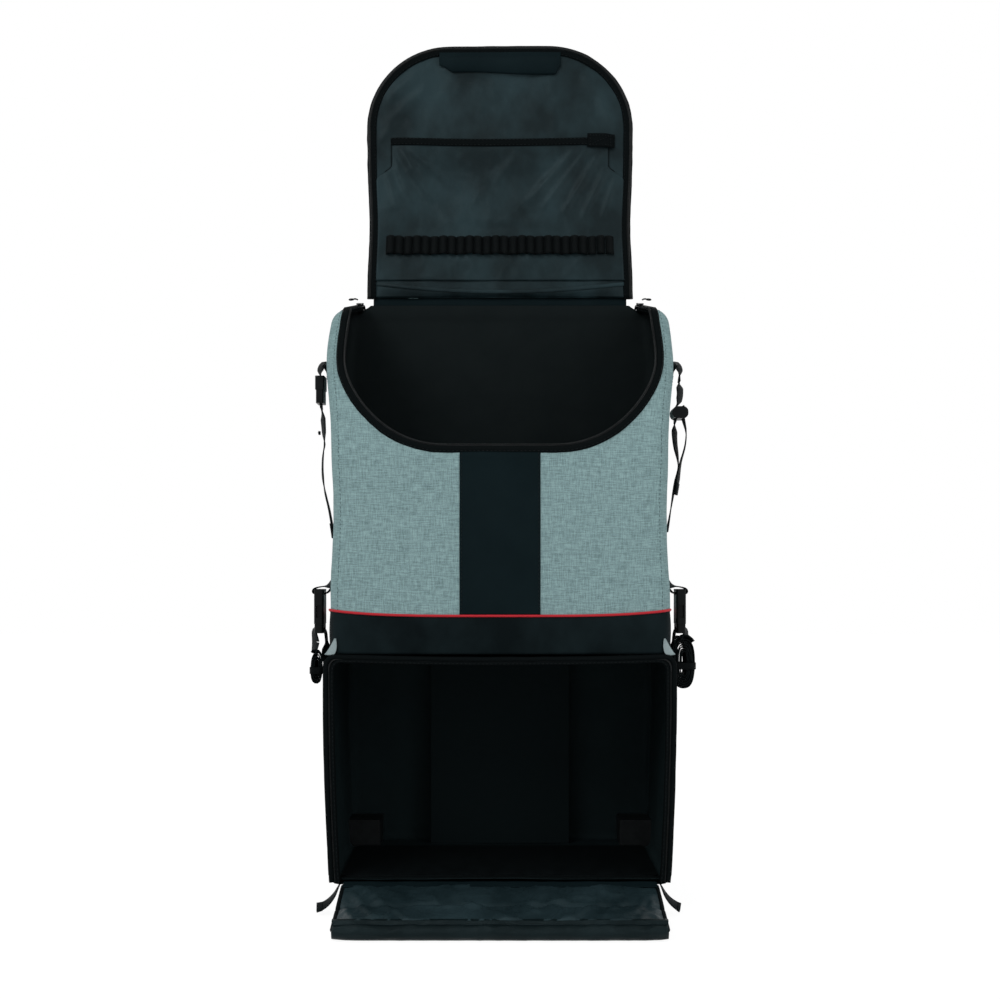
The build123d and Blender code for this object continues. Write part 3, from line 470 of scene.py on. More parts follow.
plastic = moulded(
    "buckle_plastic", (0.0012, 0.0022, 0.0025), (0.0046, 0.0066, 0.0070), 0.28, specular=0.1
)
hardPlastic = moulded("moulded_black", (0.0045, 0.006, 0.0065), (0.011, 0.0135, 0.0145), 0.42)
rubber = moulded("tyre_rubber", (0.010, 0.0105, 0.011), (0.022, 0.023, 0.024), 0.62, 700.0, 0.2)
boardSkin = moulded(
    "board_skin", (0.0014, 0.0024, 0.0028), (0.0040, 0.0058, 0.0064), 0.6, 1200.0, 0.2, 0.04
)
coil = moulded(
    "zipper_coil", (0.0024, 0.0038, 0.0042), (0.0075, 0.0100, 0.0108), 0.22, specular=0.16
)
gunmetal = moulded("slider_enamel", (0.008, 0.010, 0.011), (0.03, 0.034, 0.036), 0.22)
tubing = brushedTube("drawn_aluminium")
print("finishes made")

# ---- floor, light and camera
studio = {
    "floorWhite": 1.13,
    "floorShare": 0.82,
    "keyPower": 34.0,
    "fillPower": 15.0,
    "rimPower": 10.0,
    "skyStrength": 0.55,
    "glossyWhite": 1.0,
    "cameraBack": 1.95,      # in front of the cart's face
    "cameraHeight": 0.449,
    "focalPixels": 1520.0,   # for the photograph's 1000 x 999 frame
    "horizonRow": 566.0,
    "frameWidth": 1000,
    "frameHeight": 999,
}
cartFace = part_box("cart_front_frame")[0].y


def floorFinish():
    # a pale floor that the camera sees as white, with the shadow left in it
    f = Finish("studio_floor")
    grain = f.clouds(objectPlace(f), 14.0, 4.0)
    colour = f.colours(grain, (0.85, 0.85, 0.85), (0.88, 0.88, 0.88))
    plain = f.node(
        "ShaderNodeBsdfPrincipled", {},
        {"Base Color": colour, "Roughness": 0.9, "Specular IOR Level": 0.1}
    )
    white = f.node(
        "ShaderNodeEmission", {}, {"Color": paint(1, 1, 1), "Strength": studio["floorWhite"]}
    )
    camera, glossy, passing = (f.node("ShaderNodeLightPath", {}, {}, k) for k in (0, 3, 6))
    seen = camera.larger(glossy).larger(passing)
    mixed = f.node("ShaderNodeMixShader", {}, {0: studio["floorShare"] * seen, 1: plain, 2: white})
    f.node("ShaderNodeOutputMaterial", {}, {"Surface": mixed})
    return f.material


def areaLamp(name, place, target, size, power):
    lamp = bpy.data.lights.new(name, "AREA")
    lamp.shape, lamp.size, lamp.energy = "DISK", size, power
    holder = bpy.data.objects.new(name, lamp)
    bpy.context.scene.collection.objects.link(holder)
    holder.location = place
    holder.rotation_euler = (Vector(target) - Vector(place)).to_track_quat("-Z", "Y").to_euler()


def buildStudio():
    bpy.ops.mesh.primitive_plane_add(size=16, location=(0, 0, -0.0005))
    floor = bpy.context.object
    floor.name = "studioFloor"
    floor.data.materials.append(floorFinish())

    f = Finish("studio_sky", "worlds")
    sky = f.node(
        "ShaderNodeBackground", {}, {"Color": paint(1, 1, 1), "Strength": studio["skyStrength"]}
    )
    white = f.node("ShaderNodeBackground", {}, {"Color": paint(1, 1, 1), "Strength": 1.0})
    camera, glossy, passing = (f.node("ShaderNodeLightPath", {}, {}, k) for k in (0, 3, 6))
    seen = camera.larger(glossy * studio["glossyWhite"]).larger(passing)
    mixed = f.node("ShaderNodeMixShader", {}, {0: seen, 1: sky, 2: white})
    f.node("ShaderNodeOutputWorld", {}, {"Surface": mixed})
    bpy.context.scene.world = f.material

    areaLamp("keyLamp", (-1.7, -2.3, 2.5), (0, 0, 0.6), 1.6, studio["keyPower"])
    areaLamp("fillLamp", (2.2, -2.0, 1.5), (0, 0, 0.6), 1.8, studio["fillPower"])
    areaLamp("rimLamp", (0.4, 2.2, 2.4), (0, 0, 0.7), 1.4, studio["rimPower"])

    camera = bpy.data.cameras.new("photoCamera")
    holder = bpy.data.objects.new("photoCamera", camera)
    bpy.context.scene.collection.objects.link(holder)
    holder.location = (0, cartFace - studio["cameraBack"], studio["cameraHeight"])
    holder.rotation_euler = (math.pi / 2, 0, 0)
    camera.sensor_width = 36.0
    camera.lens = studio["focalPixels"] * camera.sensor_width / studio["frameWidth"]
    camera.shift_y = (studio["horizonRow"] - studio["frameHeight"] / 2) / studio["frameWidth"]
    camera.clip_start, camera.clip_end = 0.05, 60
    bpy.context.scene.camera = holder
    bpy.context.scene.view_settings.view_transform = "Standard"


buildStudio()
print("studio ready")

# ---- tote: a stuffed bag on its rounded form
tote = {
    "wall": 0.006,
    "cornerRound": 0.020,
    "seamIn": 0.010,         # corner seam, in from the side
    "frontRise": 0.256,      # upright front, above the tote's bottom
    "hingeRise": 0.490,
    "foldIn": 0.060,         # fold, in from the cart's face
    "foldRise": 0.453,
    "mesh": 0.0035,          # spacing of the cloth's points
    "shoulderSwell": 0.0105,
    "shoulderAt": 0.722,     # heights above the ground
    "waist": 0.003,
    "waistAt": 0.51,
    "belly": 0.0025,
    "bellyAt": 0.49,
    "pipingRadius": 0.0017,
    "seamSag": 0.0075,
    "bindingWidth": 0.0095,
    "mouthBottom": 0.0083,   # binding's middle, up the slope from its foot
    "mouthHalf": 0.2005,
    "mouthCorner": 0.1275,
    "rough": 0.0011,         # height of the cloth's unevenness
    "stripeHalf": 0.052,
    "stripeLift": 0.0009,
}
toteLow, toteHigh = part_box("tote_base")
toteHalf = toteHigh.x
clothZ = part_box("tote_piping")[1].z
footOfSlope = np.array((toteLow.y, toteLow.z + tote["frontRise"]))
foldPoint = np.array((cartFace + tote["foldIn"], toteLow.z + tote["foldRise"]))
hingePoint = np.array((toteHigh.y, toteLow.z + tote["hingeRise"]))
slopeLength = np.linalg.norm(foldPoint - footOfSlope)
upperLength = np.linalg.norm(hingePoint - foldPoint)
# the form runs on below, so that the base stays upright
formLow = toteLow.z - 2 * tote["cornerRound"]
formOutline = np.array(
    [(toteLow.y, formLow), footOfSlope, foldPoint, hingePoint, (toteHigh.y, formLow)]
)


def insideNormal(a, b, middle):
    normal = np.array((a[1] - b[1], b[0] - a[0])) / np.linalg.norm(b - a)
    return normal if normal @ (middle - a) > 0 else -normal


def insetOutline(corners, inset):
    middle = corners.mean(axis=0)
    lines = []
    for a, b in zip(corners, np.roll(corners, -1, axis=0)):
        lines.append((a + insideNormal(a, b, middle) * inset, b - a))
    made = []
    for (p, d), (q, e) in zip(lines[-1:] + lines[:-1], lines):
        share = np.linalg.solve(np.array((d, -e)).T, q - p)
        made.append(p + d * share[0])
    return np.array(made)


def nearestIn(places, corners):
    middle = corners.mean(axis=0)
    best, found = np.full(len(places), np.inf), places.copy()
    inside = np.ones(len(places), bool)
    for a, b in zip(corners, np.roll(corners, -1, axis=0)):
        edge = b - a
        share = np.clip((places - a) @ edge / (edge @ edge), 0, 1)
        near = a + share[:, None] * edge
        away = np.linalg.norm(places - near, axis=1)
        inside &= (places - a) @ insideNormal(a, b, middle) >= 0
        closer = away < best
        best[closer], found[closer] = away[closer], near[closer]
    found[inside] = places[inside]
    return found


def onForm(points, inset=0.0):
    # brings points of the sharp outline onto the rounded form, inset from its skin
    radius = tote["cornerRound"]
    core = np.empty(points.shape)
    core[:, 1:] = nearestIn(points[:, 1:], insetOutline(formOutline, radius))
    core[:, 0] = np.clip(points[:, 0], radius - toteHalf, toteHalf - radius)
    away = points - core
    length = np.maximum(np.linalg.norm(away, axis=1, keepdims=True), 1e-9)
    return core + away * (radius - inset) / length


def settle(points):
    # the slack of the stuffed bag: a drawn-in waist, swollen shoulders and a base seam that sags
    x, y, z = points.T.copy()
    outer = smoothStep(np.abs(x), 0.13, toteHalf)
    swell = (
        tote["shoulderSwell"] * bump(z, tote["shoulderAt"], 0.068)
        + 0.0014 * (1 - smoothStep(z, 0.40, 0.52))
    )
    swell = swell - tote["waist"] * bump(z, tote["waistAt"], 0.07)
    front = 1 - smoothStep(y, toteLow.y + 0.01, toteLow.y + 0.06)
    rise = tote["seamSag"] * (np.abs(x) / toteHalf) ** 4 - 0.3 * tote["seamSag"]
    z = z + front * rise * bump(z, clothZ, 0.035)
    belly = tote["belly"] * (1 - (x / toteHalf) ** 2) * bump(z, tote["bellyAt"], 0.07)
    return np.stack([x + np.sign(x) * swell * outer, y - front * belly, z], axis=1)


def sharpPoint(x, t):
    # t runs up the front from the foot of the slope, negative below it
    x, t = np.broadcast_arrays(np.asarray(x, float), np.asarray(t, float))
    slope = (foldPoint - footOfSlope) / slopeLength
    upper = (hingePoint - foldPoint) / upperLength
    onSlope = np.clip(t, 0, slopeLength)[..., None] * slope
    onUpper = np.clip(t - slopeLength, 0, None)[..., None] * upper
    below = np.minimum(t, 0)[..., None] * np.array((0.0, 1.0))
    place = footOfSlope + onSlope + onUpper + below
    return np.concatenate([x[..., None], place], axis=-1)


def skin(sharp, lift=0.0, rough=0.0, seed=1):
    flat = sharp.reshape(-1, 3)
    made = settle(onForm(flat, -lift))
    if rough:
        under = settle(onForm(flat, 0.001 - lift))
        made = made + (made - under) / 0.001 * rough * fractal(made, 11.0, seed)[:, None]
    return made.reshape(sharp.shape)


def cutGrid(grid, keep):
    # faces of a grid whose middles pass a test
    rows, columns = grid.shape[:2]
    return [face for face in gridFaces(rows, columns) if keep(*np.divmod(np.array(face), columns))]


def mouthLine(half, bottom, corner, end, step=0.004):
    # (x, t) along the mouth, from its left end round the bottom to its right end
    turn = np.linspace(0, math.pi / 2, 20)
    arc = np.stack(
        [-half + corner * (1 - np.cos(turn)), bottom + corner * (1 - np.sin(turn))], axis=1
    )
    left = np.concatenate([[(-half, end)], arc])
    return resample(np.concatenate([left, left[::-1] * (-1, 1)]), step)


def insideMouth(x, t):
    half, bottom, corner = tote["mouthHalf"], tote["mouthBottom"], tote["mouthCorner"]
    x = np.abs(x)
    if t < bottom or x > half:
        return False
    if t > bottom + corner or x < half - corner:
        return True
    return math.hypot(x - half + corner, bottom + corner - t) < corner


def hingeEdge(made, sharp):
    # under the lid's hinge the back keeps its full height
    hold = smoothStep(sharp[..., 2], hingePoint[1] - 0.03, hingePoint[1])
    hold = hold * (1 - smoothStep(np.abs(sharp[..., 0]), 0.185, 0.2))
    return made + (sharp - made) * hold[..., None]


def sideGrid(sign, low, step):
    high = hingePoint[1]
    rows = np.linspace(low, high - 0.0005, int((high - low) / step))
    columns = np.linspace(0, 1, int((toteHigh.y - toteLow.y) / step))
    edge = np.interp(
        rows, [footOfSlope[1], foldPoint[1], hingePoint[1]],
        [toteLow.y, foldPoint[0], hingePoint[0]]
    )
    y = edge[:, None] + (toteHigh.y - edge[:, None]) * columns[None]
    z = np.repeat(rows[:, None], len(columns), axis=1)
    return spread(sign * toteHalf, y, z)


def flatOf(a, b):
    return spread(a, b, 0.0)


def facing(grid, faces, middle):
    # turns the faces of an open sheet so that they look away from a point
    points = grid.reshape(-1, 3)
    a, b, c = (points[faces[len(faces) // 2][k]] for k in range(3))
    out = np.cross(b - a, c - a) @ ((a + b + c) / 3 - middle) > 0
    return faces if out else flipped(faces)


def openSheet(grid, middle, flat, ring=False):
    return grid.reshape(-1, 3), facing(grid, gridFaces(*grid.shape[:2], ring=ring), middle), flat


def wrapGrid(low, x0, x1, step):
    end = slopeLength + upperLength - 0.004
    t = np.linspace(low - footOfSlope[1], end, int((end - low + footOfSlope[1]) / step))[:, None]
    x = np.linspace(x0, x1, max(4, int((x1 - x0) / step)))[None]
    return sharpPoint(x, t), flatOf(x, t)


toteMiddle = np.array((0.0, 0.04, 0.55))


def clothPanels(low, inset, rough, seed):
    # front, two sides and back as open sheets, with their flat places
    step = tote["mesh"]
    seam = toteHalf - tote["seamIn"]
    sharp, flat = wrapGrid(low, -seam, seam, step)
    keep = lambda i, j: not insideMouth(flat[i, j, 0].mean(), flat[i, j, 1].mean())
    front = skin(sharp, -inset, rough, seed)
    parts = {"front": (front.reshape(-1, 3), facing(front, cutGrid(front, keep), toteMiddle), flat)}
    for side, sign in (("left", -1), ("right", 1)):
        edgeSharp, edgeFlat = wrapGrid(low, seam, toteHalf, step)
        edgeSharp[..., 0] *= sign
        edge = skin(edgeSharp, -inset, rough, seed)
        faceSharp = sideGrid(sign, low, step * 1.3)
        face = skin(faceSharp, -inset, rough, seed)
        faceFlat = flatOf(faceSharp[..., 1] + 0.3, faceSharp[..., 2] - footOfSlope[1])
        parts[side] = joined(
            [openSheet(edge, toteMiddle, edgeFlat), openSheet(face, toteMiddle, faceFlat)]
        )
    x = np.linspace(-toteHalf, toteHalf, int(2 * toteHalf / step / 1.3))[None]
    z = np.linspace(low, hingePoint[1], int((hingePoint[1] - low) / step / 1.3))[:, None]
    sharp = spread(x, toteHigh.y, z)
    back = hingeEdge(skin(sharp, -inset, rough, seed), sharp - (0, inset, 0))
    parts["back"] = openSheet(back, toteMiddle, flatOf(x, z))
    return parts


def around(z, step=0.004):
    # a closed line round the tote at one height
    hx, y0, y1 = toteHalf, toteLow.y, toteHigh.y
    ring = resample([(-hx, y0), (hx, y0), (hx, y1), (-hx, y1), (-hx, y0)], step)[:-1]
    return spread(ring[:, 0], ring[:, 1], z)


def buildTote():
    outer = clothPanels(clothZ - 0.002, 0.0, tote["rough"], 3)
    seats = {
        "front": "tote_front",
        "left": "tote_side_left",
        "right": "tote_side_right",
        "back": "tote_back",
    }
    for part, node in seats.items():
        finish = nylon if part == "back" else heather
        made = piece("tote_cloth_" + part, outer[part], finish, "tote", [node])

    lining = clothPanels(toteLow.z + tote["wall"], tote["wall"], 0.0016, 8)
    sheets = [(p, flipped(f), c) for p, f, c in lining.values()]
    step = 0.008
    x = np.linspace(-toteHalf + 0.007, toteHalf - 0.007, int(2 * toteHalf / step))[None]
    y = np.linspace(toteLow.y + 0.007, toteHigh.y - 0.007, int(0.24 / step))[:, None]
    floor = spread(x, y, toteLow.z + tote["wall"] + 0.0002)
    sheets.append((floor, gridFaces(*floor.shape[:2]), flatOf(x, y)))
    # the tote's lining is painted darker, as painted shade inside the bag
    made = piece("tote_lining", sheets, mouthNylonShaded, "tote")

    rows = np.linspace(toteLow.z + 0.0004, clothZ - 0.0015, 16)
    ring = [
        skin(around(z), 0.0016 * math.sin(math.pi * k / 15), 0.0012, 5) for k, z in enumerate(rows)
    ]
    band = np.stack(ring)
    turnIn = (
        band[0]
        + (toteMiddle * (1, 1, 0) + (0, 0, toteLow.z + 0.0004) - band[0]) * (0.5, 0.5, 1) * 0.97
    )
    band = np.concatenate([turnIn[None], band])
    run = np.arange(band.shape[1]) * 0.004
    flat = flatOf(run[None], np.concatenate([[rows[0] - 0.1], rows])[:, None])
    faces = gridFaces(*band.shape[:2], ring=True)
    faces.append(tuple(range(band.shape[1])))
    # the base band is painted darker, as painted shade under the piping, with painted sheen
    made = piece("tote_base_cloth", (band, faces, flat), baseNylonShaded, "tote", ["tote_base"])

    line = skin(around(clothZ - 0.0018), 0.0007)
    out = skin(around(clothZ - 0.0018), 0.0017) - line
    out = unit(out)
    up = hold(upward, len(line))
    cord = sweep(line, out, up, circleProfile(tote["pipingRadius"], 10), loop=True)
    piece("tote_red_piping", cord, piping, "tote", ["tote_piping"])

    end = slopeLength + upperLength - 0.006
    line = mouthLine(tote["mouthHalf"], tote["mouthBottom"], tote["mouthCorner"], end)
    path = skin(sharpPoint(line[:, 0], line[:, 1]))
    up = skin(sharpPoint(line[:, 0], line[:, 1]), 0.001) - path
    up = unit(up)
    side = np.cross(tangents(path), up)
    side = side * np.where(((path - (0, 0.05, 0.75)) * side).sum(axis=1) > 0, 1, -1)[:, None]
    half = tote["bindingWidth"] / 2
    roll = [
        (-half, -0.0045), (-half, 0.0006), (-half * 0.7, 0.0021), (0, 0.0027), (half * 0.7, 0.0021)
    ]
    roll += [(half, 0.0004), (half, -0.0045), (half * 0.6, -0.0068), (-half * 0.6, -0.0068)]
    rim = roughened(sweep(path, side, up, roll), 60.0, 4, 0.0004)
    piece("mouth_binding", rim, binding, "tote", ["tote_rim"])
    teeth = path - side * (half + 0.0016) + up * 0.0006
    tape = sweep(path - side * (half + 0.0012), side, up, roundedStrip(0.0034, 0.0009))
    piece("mouth_zipper", [tape, zipCoil(teeth, up, side, reach=0.0014)], coil, "tote")

    half, lift = tote["stripeHalf"], tote["stripeLift"]
    x = np.linspace(-half, half, 34)[None]
    t = np.linspace(clothZ - 0.001 - footOfSlope[1], tote["mouthBottom"] - 0.003, 70)[:, None]
    stripe = skin(sharpPoint(x, t), lift, tote["rough"], 3)
    made = piece(
        "tote_stripe_cloth", slab(stripe, lift, flatOf(x, t)), nylon, "tote",
        ["tote_stripe"]
    )

    def seamUp(x, t, above):
        line = skin(sharpPoint(x, t), above, tote["rough"], 3)
        return line, skin(sharpPoint(x, t), above + 0.001, tote["rough"], 3) - line

    seam, stripeSeam = toteHalf - tote["seamIn"], half - 0.0025
    t = np.linspace(clothZ - footOfSlope[1], slopeLength + 0.14, 160)
    corners = [seamUp(x, t, 0.0) for x in (-seam, seam)]
    t = np.linspace(clothZ - footOfSlope[1] + 0.002, tote["mouthBottom"] - 0.006, 80)
    dark = [seamUp(x, t, lift) for x in (-stripeSeam, stripeSeam)]
    dark.append((path + side * (tote["bindingWidth"] / 2) * 0.62 + up * 0.0021, up))
    sewn = (("corner_stitching", corners, greyThread), ("dark_stitching", dark, thread))
    for name, seams, finish in sewn:
        piece(name, [stitchRow(line, normal) for line, normal in seams], finish, "tote")


buildTote()
print("tote built")

# ---- lid: two leaves under one bound cloth, lined with satin
lid = {
    "lean": 2.0,             # degrees past upright
    "cornerRadius": 0.120,
    "thick": 0.005,
    "waist": 0.018,          # share of the width, above the hinge
    "bindingWidth": 0.0135,
    "mesh": 0.0034,
    "bendHalf": 0.007,       # how far the bend spreads each side of the fold
    "pocketHem": 0.245,
    "hemHeight": 0.0105,
    "pocketHalf": 0.157,
    "pocketStand": 0.009,
    "clothLow": 0.036,
    "outerThick": 0.0012,    # the outer cloth and the satin under it
    "clothThick": 0.0011,    # the pieces sewn onto the satin
    "loopCount": 26,
    "loopPitch": 0.01285,
    "loopLow": 0.074,
    "loopHigh": 0.100,
    "loopReach": 0.0072,
    "restLow": 0.012,
    "restHigh": 0.031,
    "restSag": 0.012,
    # a black sheet across the lid's top, painted shade under its curled rim
    "shadeSheetHalf": 0.088,
    "shadeSheetLow": 0.3385,
    "shadeSheetRise": 0.0045,
    "hingeHalf": 0.183,
    "handleSpan": 0.080,
    "handleRise": 0.034,
    "handleAt": 0.095,
}
lean = math.radians(lid["lean"])
lidUp = np.array((0.0, math.sin(lean), math.cos(lean)))
# towards the viewer, the lid's inner side
lidIn = np.array((0.0, -math.cos(lean), math.sin(lean)))
lidRoot = np.array((0.0, hingePoint[0], hingePoint[1]))
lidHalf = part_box("lid_front_band")[1].x
lidEnd = (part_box("lid_front_band")[1].z - lidRoot[2]) / math.cos(lean)
foldAt = (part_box("lid_front_panel")[0].z - lidRoot[2]) / math.cos(lean) - 0.0003

# creases of the lining and of the pocket's cloth: start, end, half width and height, in metres
liningCreases = [
    ((-0.165, 0.300), (-0.120, 0.338), 0.007, 0.0034),
    ((-0.150, 0.285), (-0.105, 0.318), 0.006, 0.0028),
    ((-0.172, 0.262), (-0.130, 0.292), 0.006, 0.0024),
    ((-0.176, 0.240), (-0.150, 0.268), 0.005, 0.0020),
    ((0.120, 0.335), (0.166, 0.296), 0.009, 0.0030),
    ((0.140, 0.300), (0.172, 0.262), 0.007, 0.0022),
    ((-0.085, 0.352), (0.080, 0.350), 0.010, 0.0036),
    ((-0.070, 0.330), (0.060, 0.333), 0.009, -0.0022),
]
pocketCreases = [
    ((-0.150, 0.238), (-0.098, 0.150), 0.0060, 0.0046),
    ((-0.160, 0.225), (-0.128, 0.150), 0.0045, 0.0034),
    ((-0.168, 0.205), (-0.150, 0.140), 0.0040, 0.0028),
    ((-0.140, 0.236), (-0.060, 0.165), 0.0055, 0.0030),
    ((0.118, 0.236), (0.040, 0.150), 0.0060, 0.0044),
    ((0.130, 0.232), (0.062, 0.140), 0.0048, 0.0038),
    ((0.146, 0.224), (0.092, 0.132), 0.0045, 0.0036),
    ((0.160, 0.212), (0.122, 0.128), 0.0042, 0.0032),
    ((0.170, 0.190), (0.150, 0.125), 0.0040, 0.0024),
    ((-0.060, 0.222), (-0.020, 0.178), 0.0080, 0.0020),
    ((0.030, 0.224), (-0.010, 0.176), 0.0080, 0.0022),
    ((-0.090, 0.128), (0.090, 0.122), 0.0090, 0.0016),
]


def crease(x, s, start, end, width, height):
    along = np.subtract(end, start)
    share = ((x - start[0]) * along[0] + (s - start[1]) * along[1]) / (along @ along)
    held = np.clip(share, 0, 1)
    off = (x - start[0] - held * along[0]) ** 2 + (s - start[1] - held * along[1]) ** 2
    return height * np.sin(math.pi * np.clip(share, 0.0, 1.0)) ** 0.6 * np.exp(-off / width**2)


def creases(x, s, rows):
    return sum(crease(x, s, *row) for row in rows)


def onLid(x, s, rise):
    # a point of the lid: x across, s up from the hinge, rise towards the viewer from the outer face
    x, s, rise = np.broadcast_arrays(
        np.asarray(x, float), np.asarray(s, float), np.asarray(rise, float)
    )
    narrow = 1 - lid["waist"] * bump(s, 0.115, 0.06) + 0.003 * bump(s, 0.27, 0.05)
    bow = 0.0035 * hump(s, 0, lidEnd) * (1 - (x / lidHalf) ** 2)
    wave = 0.0012 * np.sin(x * 21 + 0.6) * smoothStep(s, 0.03, 0.12)
    made = lidRoot + s[..., None] * lidUp + (rise - bow + wave)[..., None] * lidIn
    made[..., 0] = x * narrow
    return made


def lidEdge(half, end, corner, low):
    # (x, s) from the hinge's left end over the rounded top to its right end
    turn = np.linspace(0, math.pi / 2, 24)
    arc = np.stack([-half + corner * (1 - np.cos(turn)), end - corner * (1 - np.sin(turn))], axis=1)
    left = np.concatenate([[(-half, low)], arc])
    return resample(np.concatenate([left, left[::-1] * (-1, 1)]), 0.004)


def lidWidth(s, inset):
    # half the lid's width at a height, drawn in by an inset
    half, corner, end = lidHalf - inset, lid["cornerRadius"] - inset, lidEnd - inset
    over = np.clip(s - (end - corner), 0, corner)
    return half - corner + np.sqrt(np.maximum(corner**2 - over**2, 0))


def lidSheet(low, inset, rise, relief):
    step = lid["mesh"]
    high = lidEnd - inset
    near = high - lid["cornerRadius"] * (1 - np.sin(np.linspace(0.0, math.pi / 2, 34)))
    s = np.concatenate([np.arange(low, near[0] - step / 2, step), near])[:, None]
    share = np.linspace(-1, 1, int(2 * lidHalf / step))[None]
    x = share * lidWidth(s, inset)
    s = np.repeat(s, share.shape[1], axis=1)
    # flat under the binding
    calm = smoothStep(1 - np.abs(share), 0.0, 0.08) * smoothStep(high - s, 0.002, 0.02)
    return onLid(x, s, rise + relief(x, s) * calm), flatOf(x, s)


def acrossFold(made):
    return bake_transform(made)


def softNoise(x, s, scale, seed):
    points = np.stack([x.ravel(), s.ravel(), np.zeros(x.size)], axis=1)
    return fractal(points, scale, seed).reshape(x.shape)


def crumple(x, s, scale, seed, drift=0.02):
    # the sharp branching ridges of creased satin, 0 to 1
    shove = drift * softNoise(x, s, scale * 0.5, seed + 50)
    folds = 1 - np.abs(softNoise(x + shove, s * 1.15 - shove, scale, seed)) * 2.6
    finer = 1 - np.abs(softNoise(x - shove, s + shove, scale * 2.1, seed + 9)) * 2.6
    return 0.7 * np.clip(folds, 0, 1) ** 3 + 0.3 * np.clip(finer, 0, 1) ** 3


